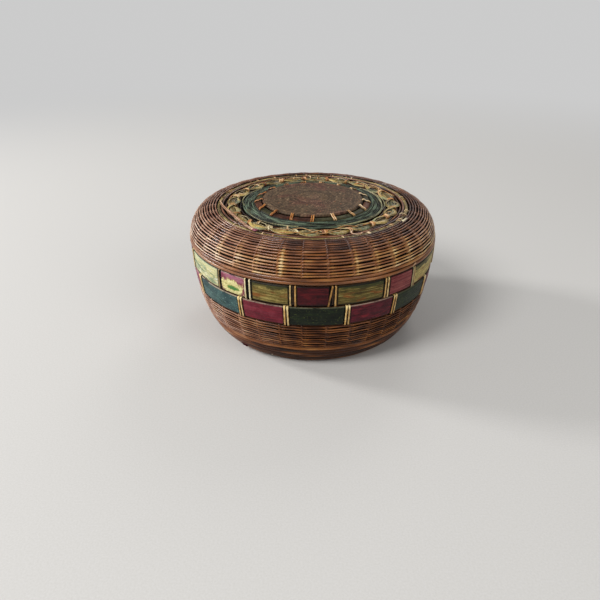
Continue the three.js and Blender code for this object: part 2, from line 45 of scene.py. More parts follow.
# Outline, as the solids have it
FOOT = (76.4, 0)
BOWL_TOP = (96.6, 41.7)
SPLIT = (99.2, 59.3)
LID_BAND_TOP = (99.9, 76.5)
RIM = (100.5, 76.5)
SHOULDER_TOP = (77.5, 102.7)
BOWL_POWER = 1.47
SHOULDER_POWER = 2.3

# Hoops, collar, floor and foot
BASE_HOOP_Z = (42.6, 58.525)
LID_HOOP_Z = (60.075, 75.6)
HOOP_DEPTH = (2.65, 1.25)
COLLAR_R = (92.45, 94.05)
COLLAR_Z = (49.8, 69.3)
FLOOR_MAT_R = 73.4
FLOOR_MAT_Z = (0.95, 3.1)
# Radius, height and half thickness of each coil
FOOT_COILS = ((74.3, 1.75, 1.75), (77.6, 2.6, 1.7), (79, 4.35, 0.9))

# Crown, from the middle outwards
HUB_R = 38
LID_HUB_Z = (102.9, 104)
BASE_HUB_Z = (3.4, 4.5)
DISC_R = 40.8
DISC_Z = (104.4, 106.55)
BORDER_R = (41.2, 46.9)
# Angles of the stitches over the border, and the blocks that start at them
STITCHES = -22.2 + np.arange(17) * FULL_TURN / 17
STITCH_R = np.array([40.1, 40.8, 41.7, 43.2, 44.9, 46.1, 46.8])
STITCH_Z = np.array([105.4, 106.4, 106.2, 105.1, 104.75, 104.2, 103])
MAROON_BLOCKS = {0, 4, 6, 8, 10, 12, 14, 16}
BRIGHT_BLOCK = 4
GREEN_R = (47, 56.4)
# Angles that the loose strands on the green ring run between
GREEN_STRANDS = ((18, 118), (34, 96), (52, 131), (-71, -12), (150, 214), (232, 279))
GREEN_STRAND_R = 55.2
OPENWORK_R = 64.5
OPENWORK_Z = 101.65
OPENWORK_REACH = 4.7
CROSSINGS = 20
CROSSING_GAP = FULL_TURN / CROSSINGS
FIRST_CROSSING = 6
# Radius and tone of the strands beside the openwork; the inner two are painted near-black, as the shadow
# between the green ring and the openwork
CROWN_STRANDS = ((58.6, 0.05), (60.9, 0.15), (67.9, 0.3), (70.2, 0.34))
CROWN_STRAND_Z = 100.7
INNER_COIL = (73, 101.3)
OLIVE_RING = (75.7, 101.2)
# Bed of the crown: a slope from this radius and height, then level
BED_START = (35.6, 103.4)
BED_RUN = 21.4
BED_FALL = 3.65
BED_GAP = 0.75
# The mat of rows under the crown; its upper face is painted near-black, as the shade under the openwork
MAT_R = (38.6, 79)
MAT_PITCH = 1.92

# Stakes and rows
STAKES = [-54.5, -45, -34, -24.5, -13.8, -3.8, 7, 17.5, 27, 36, 45.5, 56]
STAKE_BACK_GAP = 9.98
STAKE_ANGLES = STAKES + [STAKES[-1] + STAKE_BACK_GAP * (i + 1) for i in range(24)]
STAKE_HALF = (1.2, 0.42)
STAKE_INSET = 3.2
# Reach of their flat part at the hub, then radii and heights of their ends behind the hoops
LID_STAKE_FLAT = (30, 74)
BASE_STAKE_FLAT = (30, 70)
LID_STAKE_END = ((96.6, 95.7, 95.7), (77.6, 76.2, 69.6))
BASE_STAKE_END = ((92.9, 92.6, 93.2), (40.6, 42, 48.6))
STRAND_R = 0.66
STRAND_DEPTH = 2.75
LID_ROWS = 15
LID_COILS = 2
LID_COIL_PITCH = 2.86
BASE_ROWS = 10
BASE_COILS = 5
BASE_COIL_PITCH = 3.75
BASE_COILS_Z = 3.3
LID_INNER_RING = (97.8, 77)
BASE_INNER_RINGS = ((94.4, 41.6), (88.4, 20.8))
# How pale the stakes are that show most through the rows
LID_LADDERS = {0: 0.5, 1: 0.62, 2: 0.52, 3: 0.55, 4: 0.85, 7: 0.68, 8: 0.58, 9: 0.66, 10: 0.62}
BASE_LADDERS = {4: 0.5, 9: 0.45}

# Ties at the front, and the finishes of the panels that start at them
LID_TIES = [-70.5, -44.2, -28.3, -8.9, 7.5, 31.6, 47.8, 76.2]
BASE_TIES = [-62.8, -33.2, -11.8, 14, 37.2, 61.5]
# Number of panels round the back, and the angle that each maroon one spans
LID_BACK = (11, 15.1)
BASE_BACK = (9, 24.6)
LID_FINISHES = ["olive_pale", "maroon_rose", "olive", "maroon_dark", "olive", "maroon", "olive"]
BASE_FINISHES = ["green_teal", "maroon_wine", "green_dark", "maroon_wine", "green_dark"]
LID_SPARE = (["olive", "olive_pale"], ["maroon_wine", "maroon_dark", "maroon"])
BASE_SPARE = (["green_dark", "green_teal"], ["maroon_rose", "maroon_wine", "maroon"])
# Tone shifts for some panels, partly painted light and shade: brighter where more light falls, as on the
# first lid panel, darker where less falls, as on the fourth base panel.
PANEL_TONES = {"lid_01": 0.2, "lid_04": -0.06, "lid_05": -0.04, "lid_06": 0.07, "lid_07": 0.13,
               "base_01": 0.04, "base_02": -0.03, "base_03": -0.05, "base_04": -0.13, "base_05": 0.06}
# Where old paint shows: angle and share of the height, and its reach in each
FLAKES = {"lid_02": (-37.2, 0.34, 6.6, 0.4)}
# Bare width beside the ties that have less of it
LID_CLEARS = {1: 2, 6: 1.8, 0: 2.2}
# Turns of the lashing at each tie: shift, slant, tone and hue
LID_TURNS = (
    ((-0.9, 0, 0, 0.8), (0.9, 0, 0, 0.5)),
    ((0, 0.2, -0.22, 0.5),),
    ((-2.2, 0, 0.06, 0.8), (1.5, 0, 0.06, 1)),
    ((-1.6, 0, -0.08, 0.5), (1.9, 0, 0.05, 0.1)),
    ((-2, 1.3, -0.16, 0), (1.7, 0, -0.06, 0.15)),
    ((-1.5, 0.1, 0, 0.2), (0.9, 0, 0.05, 0.2)),
    ((-0.8, 0.1, 0, 0.9), (0.9, 0, -0.1, 0.3)),
    ((-1, 0, 0, 0.4), (1, 0, 0, 0.1)),
)
LID_USUAL_TURNS = ((-1.4, 0, 0, 0.3), (1.4, 0, 0, 0.1))
BASE_TURNS = ((-1.12, 0.1, 0.02, 0), (1.12, -0.1, 0.06, 0.25))

# Turns, slant and hue of the wraps at the crossings that show most
KNOTS = {0: (5, 0.2, 0.05), 1: (3, 0.9, 0.2), 2: (4, -0.9, 0.1), 18: (6, 1.5, 0.85), 19: (2, 2.2, 1)}
# The loose reed: first angle and run, radius and bow, height and rise
REED = (-93, 59, 75.7, 6.4, 102.6, 0.75)
# Broken ends: start (angle, radius, height), run in each, facing angle, lean (out, up), half width,
# half thickness, tone and hue
LID_ENDS = (
    ((57, 79.5, 102.2), (8, 0.4, -0.9), 60, (0.5, 0.8), 1.2, 0.3, 0.12, 0.9),
    ((126, 80.5, 101.9), (1, 2.5, -0.3), 126, (0.4, 0.8), 0.9, 0.35, 0.1, 0.7),
    ((46, 99.9, 77.2), (1.6, 1.2, 2.4), 46, (1, 0), 0.5, 0.35, 0, 0.2),
    ((-50.5, 97, 84), (1.2, 1.8, 2), -50, (1, 0), 0.5, 0.3, 0.05, 0),
)
BASE_ENDS = (
    ((-24.3, 79.2, 5.4), (1.5, 2.2, -1.5), -24, (1, 0.5), 0.8, 0.4, 0.12, 0.5),
    ((152, 79.2, 6.2), (-2, 2, -1), 152, (1, 0.5), 0.6, 0.4, 0.05, 0),
)

# Floor, light and camera, in metres and degrees
FLOOR_R = 8
FLOOR_FADE = (0.45, 1.3)
# The world lights the object at one level and is seen at another
WORLD_LEVEL = 0.26
BACKDROP_LEVEL = 0.6
LAMP_TARGET = (0, 0, 0.05)
LAMPS = (
    ("key", (-1.3, -1.1, 1.7), 1, 36),
    ("side", (-1.9, 0.55, 0.95), 0.4, 24),
    ("fill", (1.4, -1.3, 1.3), 1.2, 10),
    ("back", (0.6, 1.5, 1.2), 0.8, 6),
)
CAMERA_PLACE = (-0.0102, -0.4668, 0.2652)
CAMERA_DOWN = 28.52
CAMERA_LENS = 36
CAMERA_SENSOR = 36

# Leans of a strand, and the angles of a turn of a wrap
OUT = (1, 0)
UP = (0, 1)
LOOP = np.arange(14) * 2 * math.pi / 14


def put(name, data, place=(0, 0, 0), turned=(0, 0, 0)):
    thing = bpy.data.objects.new(name, data)
    thing.location = place
    thing.rotation_euler = turned
    bpy.context.scene.collection.objects.link(thing)
    return thing


def jitter(size):
    return rng.normal() * size


def around(angle, radius, z):
    a = np.radians(angle)
    return np.stack(np.broadcast_arrays(radius * np.sin(a), -radius * np.cos(a), z), axis=-1)


def unit(v):
    return v / np.linalg.norm(v, axis=-1, keepdims=True)


def outward_of(angle, out, up):
    return unit(around(angle, out, up))


def full_turn(count):
    return np.arange(count) * FULL_TURN / count


def bell(x):
    return np.exp(-(x**2))


def squared(x, power):
    """A cosine or sine that gives a circle corners, for a power below 1."""
    return np.sign(x) * np.abs(x) ** power


def wobble(angle, size, waves=(2, 3, 5, 8, 13, 21)):
    """A smooth random wave that closes after a full turn."""
    total = np.zeros_like(angle, dtype=float)
    for wave in waves:
        total += rng.normal() * np.sin(np.radians(angle) * wave + rng.uniform(0, 2 * np.pi))
    return total * size / math.sqrt(len(waves) / 2)


class Wall:
    """A quarter superellipse, followed by its length. side is 1 where it runs down from the crown
    and -1 where it climbs from the foot."""

    def __init__(self, start, end, power, side):
        t = np.linspace(0, math.pi / 2, 3001)
        across = np.sin(t) ** (2 / power)
        along = 1 - np.maximum(np.cos(t), 0) ** (2 / power)
        self.r = start[0] + (end[0] - start[0]) * across
        self.z = start[1] + (end[1] - start[1]) * along
        step = np.hypot(np.diff(self.r), np.diff(self.z))
        self.s = np.r_[0, np.cumsum(step)]
        self.length = self.s[-1]
        self.out = -np.gradient(self.z, self.s) * side
        self.up = np.gradient(self.r, self.s) * side

    def at(self, s):
        return [np.interp(s, self.s, a) for a in (self.r, self.z, self.out, self.up)]

    def point(self, s, angle, depth):
        r, z, out, up = self.at(s)
        size = np.hypot(out, up)
        r = r - depth * out / size
        z = z - depth * up / size
        return around(angle, r, z), outward_of(angle, out, up)


shoulder = Wall(SHOULDER_TOP, RIM, SHOULDER_POWER, 1)
bowl = Wall(FOOT, BOWL_TOP, BOWL_POWER, -1)


def fan(columns, flip):
    """Triangles that cap one ring of vertices."""
    ring = np.arange(1, columns - 1)
    corners = np.stack([0 * ring, ring, ring + 1], axis=-1)
    return corners[:, ::-1] if flip else corners


def grid(rows, columns, closed=False):
    """Quads over rings of vertices."""
    i, j = np.meshgrid(np.arange(rows if closed else rows - 1), np.arange(columns), indexing="ij")
    here, after = i * columns, (i + 1) % rows * columns
    k = (j + 1) % columns
    return np.stack([here + j, here + k, after + k, after + j], axis=-1).reshape(-1, 4)


class Shell:
    """The faces of one piece, and the numbers that its material reads at each vertex."""

    made = []

    def __init__(self, *facts):
        """The facts are name, body, material, slot and the solids that it replaces."""
        self.facts = facts
        self.points, self.faces, self.values = [], [], []
        self.count = 0
        Shell.made.append(self)

    def add(self, points, faces, **values):
        self.faces += [part + self.count for part in faces]
        self.points.append(points)
        self.values.append((len(points), values))
        self.count += len(points)

    def add_rings(self, rings, closed=False, flip=True, **values):
        """Rings of vertices, capped where they don't close. A value is one number, one for each
        ring, or a table of rings by vertices."""
        n, columns = rings.shape[:2]
        faces = grid(n, columns, closed)
        parts = [faces[:, ::-1] if flip else faces]
        if not closed:
            parts += [fan(columns, not flip), fan(columns, flip) + (n - 1) * columns]
        table = {}
        for key, value in values.items():
            value = np.asarray(value, float)
            value = value[:, None] if value.ndim == 1 else value
            table[key] = np.broadcast_to(value, (n, columns)).ravel()
        self.add(rings.reshape(-1, 3), parts, **table)

    def build(self):
        name, body, material, slot, *replaces = self.facts
        mesh = bpy.data.meshes.new(name)
        faces = [face for part in self.faces for face in part.tolist()]
        mesh.from_pydata(np.concatenate(self.points) * MM, [], faces, shade_flat=False)
        for key in {key: None for _, values in self.values for key in values}:
            column = [np.broadcast_to(values.get(key, 0), (n,)) for n, values in self.values]
            layer = mesh.attributes.new(key, "FLOAT", "POINT")
            layer.data.foreach_set("value", np.concatenate(column).astype(np.float32))
        mesh.validate()
        mesh.materials.append(material)
        piece = put(name, mesh)
        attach(piece, body)
        if replaces:
            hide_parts(*replaces)


def tube(shell, path, normal, half_width, half_height, sides=6, closed=False, squareness=1, **values):
    """A strand along a path, with its half thickness along the normal."""
    around_it = np.roll(path, -1, axis=0) - np.roll(path, 1, axis=0)
    along = unit(around_it if closed else np.gradient(path, axis=0))
    wide = unit(np.cross(along, normal))
    high = np.cross(wide, along)
    half_width, half_height = (np.reshape(half, (-1, 1, 1)) for half in (half_width, half_height))
    turn = np.arange(sides) * 2 * math.pi / sides + math.pi / 2
    c, s = (squared(wave(turn), squareness)[None, :, None] for wave in (np.cos, np.sin))
    rings = path[:, None] + wide[:, None] * c * half_width + high[:, None] * s * half_height
    shell.add_rings(rings, closed, across=np.cos(turn)[None], crest=np.sin(turn)[None], **values)


def strand(shell, angle, radius, z, lean, half_width, half_height, facing=None, **options):
    """A tube that runs round the basket. lean is how far it faces out and up, and facing the angle
    it faces where that isn't its own."""
    normal = outward_of(angle if facing is None else facing, *lean)
    tube(shell, around(angle, radius, z), normal, half_width, half_height, **options)


# Materials

# Sockets of the node that mixes two colours
MIX_SHARE, MIX_FIRST, MIX_SECOND, MIX_RESULT = 0, 6, 7, 2
# Radius at which the angle is turned into a length for the grain
GRAIN_R = 95 * MM
NEAR_BLACK = "0a0605"


def linear(code):
    channels = [int(code[i : i + 2], 16) / 255 for i in (0, 2, 4)]
    return [c / 12.92 if c <= 0.04045 else ((c + 0.055) / 1.055) ** 2.4 for c in channels] + [1]


class Nodes:
    """The nodes of a material or world. A value is a number, a colour code or a socket."""

    def __init__(self, owner):
        owner.use_nodes = True
        self.tree = owner.node_tree

    def set(self, socket, value):
        if isinstance(value, bpy.types.NodeSocket):
            self.tree.links.new(value, socket)
        else:
            socket.default_value = linear(value) if isinstance(value, str) else value

    def node(self, kind, inputs=None, result=0, **settings):
        node = self.tree.nodes.new(kind)
        for key, value in settings.items():
            setattr(node, key, value)
        self.fill(node, inputs or {})
        return node.outputs[result]

    def fill(self, node, inputs):
        for key, value in inputs.items():
            self.set(node.inputs[key], value)

    def math(self, operation, *values, clamp=False):
        inputs = dict(enumerate(values))
        return self.node("ShaderNodeMath", inputs, operation=operation, use_clamp=clamp)

    def add(self, a, b, clamp=False):
        return self.math("ADD", a, b, clamp=clamp)

    def times(self, a, b):
        return self.math("MULTIPLY", a, b)

    def sway(self, noise, size):
        return self.times(self.math("SUBTRACT", noise, 0.5), size)


class Finish(Nodes):
    """One procedural material."""

    def __init__(self, name, coat=0, level=0.5):
        self.material = bpy.data.materials.new(name)
        super().__init__(self.material)
        self.tree.nodes.clear()
        self.shader = self.tree.nodes.new("ShaderNodeBsdfPrincipled")
        self.output = self.tree.nodes.new("ShaderNodeOutputMaterial")
        self.fill(self.output, {"Surface": self.shader.outputs[0]})
        self.shade({"Specular IOR Level": level, "Coat Weight": coat, "Coat Roughness": 0.25})
        self.place = self.node("ShaderNodeTexCoord", result="Object")

    def shade(self, inputs):
        self.fill(self.shader, inputs)

    def value(self, name):
        return self.node("ShaderNodeAttribute", result="Fac", attribute_name=name)

    def wrapped(self, angle=None):
        """Coordinates that run round the basket, out and up, in metres."""
        x, y, z = (self.node("ShaderNodeSeparateXYZ", {0: self.place}, i) for i in range(3))
        angle = angle or self.math("ARCTAN2", x, self.times(y, -1))
        radius = self.math("SQRT", self.add(self.times(x, x), self.times(y, y)))
        return self.node("ShaderNodeCombineXYZ", {0: self.times(angle, GRAIN_R), 1: radius, 2: z})

    def noise(self, sizes, detail=3, roughness=0.55, distortion=0):
        inputs = {0: self.place, 1: np.full(3, sizes)}
        scaled = self.node("ShaderNodeVectorMath", inputs, operation="MULTIPLY")
        inputs = {"Vector": scaled, "Scale": 1, "Detail": detail, "Roughness": roughness,
                  "Distortion": distortion}
        return self.node("ShaderNodeTexNoise", inputs, "Fac")

    def ramp(self, factor, *stops):
        node = self.tree.nodes.new("ShaderNodeValToRGB")
        self.set(node.inputs[0], factor)
        elements = node.color_ramp.elements
        elements[0].position, elements[1].position = stops[0][0], stops[1][0]
        for at, _ in stops[2:]:
            elements.new(at)
        for element, (_, colour) in zip(elements, stops):
            element.color = linear(colour)
        return node.outputs[0]

    def step(self, value, low, high):
        inputs = {"Value": value, "From Min": low, "From Max": high}
        return self.node("ShaderNodeMapRange", inputs, "Result", interpolation_type="SMOOTHSTEP")

    def mix(self, share, first, second):
        inputs = {MIX_SHARE: share, MIX_FIRST: first, MIX_SECOND: second}
        return self.node("ShaderNodeMix", inputs, MIX_RESULT, data_type="RGBA")

    def cover(self, mask, strength, top):
        """Lays a colour over the one that is there, where the mask is 1."""
        self.colour = self.mix(self.times(mask, strength), self.colour, top)

    def done(self, rough, height, distance, strength):
        """The fine relief has its distance in millimetres."""
        relief = {"Strength": strength, "Distance": distance * MM, "Height": height}
        normal = self.node("ShaderNodeBump", relief)
        self.shade({"Base Color": self.colour, "Roughness": rough, "Normal": normal})
        return self.material


def make_weaver(name, coat, level):
    """Varnished reed, with painted shade: darker at its sides and nearly black on its outer face where it
    passes behind a stake.
    """
    f = Finish(name, coat=coat, level=level)
    f.place = f.wrapped()
    crest = f.value("crest")
    grain = f.noise((120, 1500, 1500), 3, 0.6)
    patches = f.noise((60, 160, 160), 2)
    tone = f.add(f.value("tone"), f.sway(grain, 0.3))
    tone = f.add(tone, f.sway(patches, 0.42), clamp=True)
    red = f.ramp(tone, (0, "100805"), (0.3, "42231a"), (0.55, "84543e"), (0.8, "bb9078"), (1, "e8ccb6"))
    gold = f.ramp(tone, (0, "120803"), (0.3, "4a260f"), (0.55, "8e5628"), (0.8, "c08a4a"), (1, "eac68c"))
    f.colour = f.mix(f.value("warm"), red, gold)
    # Painted shade on the sides of each strand, so that only its crest is light.
    f.cover(f.step(crest, 0.95, -0.05), 0.92, "150a05")
    # Painted shade: the outer face of a strand behind a stake is near-black and reflects little.
    painted_gap_shade = f.times(f.step(f.value("behind"), 0.4, 0.9), f.step(crest, -0.6, 0))
    f.cover(painted_gap_shade, 0.98, "080403")
    f.shade({"Specular Tint": f.mix(painted_gap_shade, "ffffff", "1c0e06")})
    rough = f.add(f.times(painted_gap_shade, 0.6), f.math("MULTIPLY_ADD", grain, 0.2, 0.24), clamp=True)
    return f.done(rough, grain, 0.12, 0.6)


def make_stake():
    f = Finish("pale_stake", level=0.2)
    grain = f.noise(900, 3, 0.6)
    tone = f.add(f.value("tone"), f.sway(grain, 0.4), clamp=True)
    f.colour = f.ramp(tone, (0, "0c0705"), (0.35, "5a3824"), (0.65, "9a7044"), (1, "ecd49a"))
    return f.done(0.6, grain, 0.1, 0.5)


def make_dark_weave():
    f = Finish("dark_weave", level=0.2)
    grain = f.noise(1100, 3, 0.65)
    patches = f.noise(45, 3, 0.6)
    flecks = f.noise(420, 2, 0.5)
    tone = f.add(f.value("tone"), f.sway(grain, 0.35), clamp=True)
    brown = f.ramp(tone, (0, "120c07"), (0.35, "3a2c1e"), (0.7, "6a543e"), (1, "a8906e"))
    red = f.ramp(tone, (0, "180b08"), (0.35, "42261d"), (0.7, "704a3a"), (1, "a88270"))
    f.colour = f.mix(f.step(patches, 0.46, 0.72), brown, red)
    f.cover(f.step(flecks, 0.7, 0.76), 0.8, "b5683e")
    return f.done(f.add(0.45, f.times(grain, 0.3)), grain, 0.1, 0.5)


def make_hoop_wood():
    f = Finish("hoop_wood")
    f.place = f.wrapped()
    grain = f.noise((40, 900, 900), 4, 0.6, 0.4)
    f.colour = f.ramp(grain, (0.25, "24150d"), (0.5, "54351f"), (0.75, "8a5f3a"))
    return f.done(f.add(0.4, f.times(grain, 0.3)), grain, 0.15, 0.6)


def make_paint(name, colours, streaks, edge_darkness, hairs, specks_and_glints=0, speck="", top="", lip="", level=0.2,
               accent_from=0.53, chalk=0, ring=False):
    """Old lacquer paint on a splint, with streaks, patches of a second colour, worn edges that
    darken towards the rim, and bare dark ends. top is the colour of the upper part: green paint on
    the olive, a painted highlight on the pale olive and a painted sheen on the rose maroon. lip is that of
    the upper edge and chalk the share of whitish patches."""
    deep, middle, light, worn, accent = colours.split()
    f = Finish("paint_" + name, level=level)
    f.place = f.wrapped(None if ring else f.value("turn"))
    side, edge, flake, core = (f.value(key) for key in ("side", "edge", "flake", "core"))
    long_grain = f.noise((45, 300, 1100), 4, 0.65, 0.2)
    patches = f.noise((110, 110, 160), 4, 0.6)
    second = f.noise((75, 250, 380), 4, 0.65, 0.5)
    fine = f.noise((900, 900, 1400), 3, 0.7)
    hair = f.noise((70, 400, 2400), 2, 0.5)
    spikes = f.noise((560, 300, 150), 4, 0.7, 0.4)
    tone = f.add(f.times(long_grain, streaks), f.times(patches, 1 - streaks))
    tone = f.add(f.add(tone, f.sway(fine, 0.25)), f.value("tone"))
    f.colour = f.ramp(tone, (0.3, deep), (0.5, middle), (0.72, light))
    f.cover(f.step(second, accent_from, accent_from + 0.13), 0.75, accent)
    if chalk:
        chalky = f.noise((90, 300, 260), 5, 0.7, 0.8)
        f.cover(f.step(chalky, 0.54, 0.62), chalk, worn)
    f.cover(f.step(hair, 0.6, 0.7), hairs, light)
    # Light specks: painted glints on the teal and green-ring finishes, specks of colour on the others.
    if specks_and_glints:
        cells = f.noise((700, 700, 900), 2, 0.6)
        f.cover(f.step(cells, 0.6, 0.7), specks_and_glints, speck)
    # The upper part: green paint on the olive, a painted highlight on the pale olive and a painted sheen on
    # the rose maroon.
    if top:
        f.cover(f.step(f.add(side, f.sway(second, 1.4)), 0.66, 0.92), 0.8, top)
    f.cover(f.step(f.add(edge, f.sway(fine, 0.9)), 0.8, 1.05), 0.6, worn)
    # Darker towards the edges, with noise.
    darker_edges = f.add(f.times(edge, 0.9), f.times(f.add(long_grain, patches), 0.4))
    f.cover(f.step(darker_edges, 1.25 - edge_darkness, 1.6 - edge_darkness), 0.88, NEAR_BLACK)
    # Dark spots near the lower edge.
    spots = f.times(f.step(fine, 0.6, 0.7), f.step(side, 0.3, 0.05))
    f.cover(spots, 0.8, NEAR_BLACK)
    ragged = f.add(flake, f.sway(spikes, 1.5))
    there = f.step(flake, 0.06, 0.2)
    f.cover(f.times(f.step(ragged, 0.3, 0.44), there), 0.7, "a58a5c")
    old = f.ramp(f.add(fine, f.sway(hair, 0.8)), (0.25, "93864a"), (0.45, "d3c884"), (0.7, "ece5ae"))
    f.cover(f.step(ragged, 0.42, 0.54), there, old)
    ragged = f.add(core, f.sway(spikes, 1.1))
    there = f.step(core, 0.05, 0.2)
    f.cover(f.step(ragged, 0.36, 0.5), there, "8d9a52")
    f.cover(f.step(ragged, 0.56, 0.7), there, "47793f")
    if lip:
        high = f.times(f.step(side, 0.94, 0.99), f.step(patches, 0.36, 0.5))
        f.cover(high, 0.75, lip)
    f.colour = f.mix(f.value("bare"), f.colour, NEAR_BLACK)
    relief = f.add(f.times(long_grain, 0.7), f.times(fine, 0.3))
    return f.done(f.add(0.3, f.times(fine, 0.35)), relief, 0.4, 0.8)


def make_cane(name, deep, middle, light, roughness=0.26):
    """Shiny split cane. hue turns it from its own colour to cream."""
    f = Finish(name, coat=0.2, level=0.4)
    grain = f.noise((1500, 1500, 260), 3, 0.6)
    patches = f.noise(260, 3, 0.6)
    tone = f.add(f.add(f.times(grain, 0.45), f.times(patches, 0.55)), f.value("tone"))
    own = f.ramp(tone, (0.25, deep), (0.5, middle), (0.72, light))
    cream = f.ramp(tone, (0.25, "5c5030"), (0.5, "cabb88"), (0.72, "f2e9c6"))
    f.colour = f.mix(f.value("hue"), own, cream)
    # Painted shade on the side of the cane that faces in.
    f.cover(f.step(f.value("crest"), 0.55, -0.3), 0.75, "2a1608")
    return f.done(f.add(roughness, f.times(grain, 0.2)), grain, 0.12, 0.5)


def make_splint():
    """Flat splint with pale edges, for the openwork. hue goes from ochre to green."""
    f = Finish("olive_splint", coat=0.1, level=0.35)
    grain = f.noise(900, 4, 0.65)
    patches = f.noise(190, 3, 0.6)
    tone = f.add(f.add(f.times(grain, 0.6), f.times(patches, 0.4)), f.value("tone"))
    ochre = f.ramp(tone, (0.3, "2a200c"), (0.52, "75602c"), (0.78, "c4a860"))
    green = f.ramp(tone, (0.3, "161a0c"), (0.52, "4c5030"), (0.78, "9a9c70"))
    body = f.mix(f.step(f.add(f.value("hue"), f.sway(patches, 1.6)), 0.45, 0.7), ochre, green)
    edge = f.add(f.math("ABSOLUTE", f.value("across")), f.sway(grain, 0.8))
    pale = f.ramp(grain, (0.3, "7a6440"), (0.7, "dccb9e"))
    f.colour = f.mix(f.step(edge, 0.6, 0.95), body, pale)
    # Painted shade on the underside of the splint.
    f.cover(f.step(f.value("crest"), 0.2, -0.5), 0.8, "150e06")
    return f.done(f.add(0.3, f.times(grain, 0.25)), grain, 0.25, 0.7)


WEAVER = make_weaver("weaver", 0.2, 0.4)
FOOT_WEAVER = make_weaver("foot_weaver", 0.04, 0.22)
STAKE = make_stake()
DARK_WEAVE = make_dark_weave()
HOOP_WOOD = make_hoop_wood()
CANE = make_cane("golden_cane", "5e3a12", "bd8a3e", "f2d692")
ORANGE = make_cane("orange_cane", "7a4218", "c4823e", "eec592", 0.3)
PEACH = make_cane("peach_cane", "6a4430", "c0906c", "eccbaa", 0.34)
SPLINT = make_splint()

# Deep, middle, light, worn and second colour, then streaks, darkness towards the edges and hairs
PAINTS = {
    "olive": ("161405 665828 cbb66c b8a060 84491c", 0.7, 0.7, 0.5, dict(top="26341a", accent_from=0.51)),
    "olive_pale": ("77774a aea873 d6cf9c e6e4d2 42705a", 0.7, 0.42, 0.45,
                   dict(top="c0c498", accent_from=0.45, chalk=0.75)),
    "maroon": ("340a0e 6a242a 94504a 9a6048 521418", 0.6, 0.45, 0.35, {}),
    "maroon_rose": ("481422 742e3e a05e6e b47c88 6c1e2c", 0.5, 0.4, 0.35,
                    dict(specks_and_glints=0.5, speck="cfa8a8", top="a66a7c", lip="c0a090")),
    "maroon_wine": ("3c0a15 6a1b2a 8e3c48 a8686f 82222c", 0.5, 0.45, 0.3, dict(lip="b89a86")),
    "maroon_dark": ("200305 460a14 6c201c 7c4236 5e1418", 0.4, 0.55, 0.25, {}),
    "green_teal": ("0f2226 284244 4a6864 a4c4bc 1b352a", 0.35, 0.5, 0.3,
                   dict(specks_and_glints=0.6, speck="8cb2aa", lip="b4a68e")),
    "green_dark": ("050904 0f170b 24301a 3c4626 1c2810", 0.45, 0.45, 0.25,
                   dict(specks_and_glints=0.6, speck="565f2a", lip="6a6a50")),
    "green_ring": ("0b0e08 2a3023 60705a 6e684c 4a4526", 0.65, 0.45, 0.5,
                   dict(specks_and_glints=0.3, speck="86a090", ring=True)),
    "border_maroon": ("1c0c08 40281e 6e4834 5c4030 52241a", 0.6, 0.3, 0.15, dict(level=0.1, ring=True)),
    "border_green": ("16180e 363422 565438 5a4c34 443a24", 0.6, 0.3, 0.15, dict(level=0.1, ring=True)),
}
PAINTS = {name: make_paint(name, *looks[:-1], **looks[-1]) for name, looks in PAINTS.items()}


# Weave


def painted_side_light(angle, slope=1.6, least=0.35):
    """Painted light: 1 on the left side, which is painted lighter as if lit, and 0 elsewhere."""
    return np.clip(-slope * np.sin(np.radians(angle)) - least, 0, 1)


# The same painted light, for the base.
def painted_base_light(angle):
    return painted_side_light(angle, 1.9, 0.3)


def near_front(angle):
    return np.clip(np.cos(np.radians(angle)), 0, 1) ** 4


def between_stakes(shares):
    """Angles at these shares of the way from stake to stake."""
    start = np.array(STAKE_ANGLES)
    span = np.diff(np.append(start, start[0] + FULL_TURN))
    return (start[:, None] + span[:, None] * shares).ravel()


def twined_row(shell, wall, s, pitch, stagger, tone, warm, bright, painted_lit, stout=0):
    """Two strands twisted round each other, so that one passes outside every stake. They cross
    just before each stake."""
    at = np.array([0, 0.12, 0.3, 0.5, 0.74, 0.79, 0.84, 0.89, 0.94])
    spans = len(STAKE_ANGLES)
    angle = between_stakes(at)
    u = np.tile(at, spans)
    even = (np.repeat(np.arange(spans), len(at)) + stagger) % 2 == 0
    drift = wobble(angle, 0.15, (2, 3, 4, 6, 9, 14))
    size = STRAND_R * rng.uniform(0.93, 1.07) * (0.92 + (0.24 + stout) * near_front(angle))
    diving = 0.5 + 0.5 * np.cos(np.clip((u - 0.86) / 0.12, 0, 1) * math.pi)
    rising = 0.5 - 0.5 * np.cos(np.clip((u - 0.76) / 0.1, 0, 1) * math.pi)
    lift = 0.38 * bell((u - 0.88) / 0.07)
    drop = 0.5 * bell((u - 0.83) / 0.06)
    sag = np.sin(np.clip(u / 0.86, 0, 1) * math.pi) ** 2
    for first in (even, ~even):
        outside = np.where(first, diving, rising)
        inside = 1 - outside
        bend = np.where(first, -lift, drop * outside)
        depth = STRAND_DEPTH - (2 - 0.3 * sag) * outside + wobble(angle, 0.04)
        path, normal = wall.point(s + drift + bend + 0.51 * pitch * inside, angle, depth)
        own = jitter(0.05) + wobble(angle, 0.07, (1, 2, 4, 7, 11, 23, 37))
        own = tone(angle) + own * (1 - 1.6 * stout)
        # Painted shade: darker where the strand sinks midway between stakes, and at each crossing; the
        # crossing line is weaker on the lit left.
        own = own + bright * np.clip(rng.normal(), 0, 2) - 0.08 * sag
        own = own - 0.1 * bell((u - 0.87) / 0.07) * (1 - painted_lit(angle))
        wide = size + (0.56 * pitch - size) * inside
        high = STRAND_R * (0.95 - 0.3 * inside)
        hue = np.clip(warm(angle) + wobble(angle, 0.15), 0, 1)
        tube(shell, path, normal, wide, high, closed=True, tone=own, warm=hue, behind=inside)


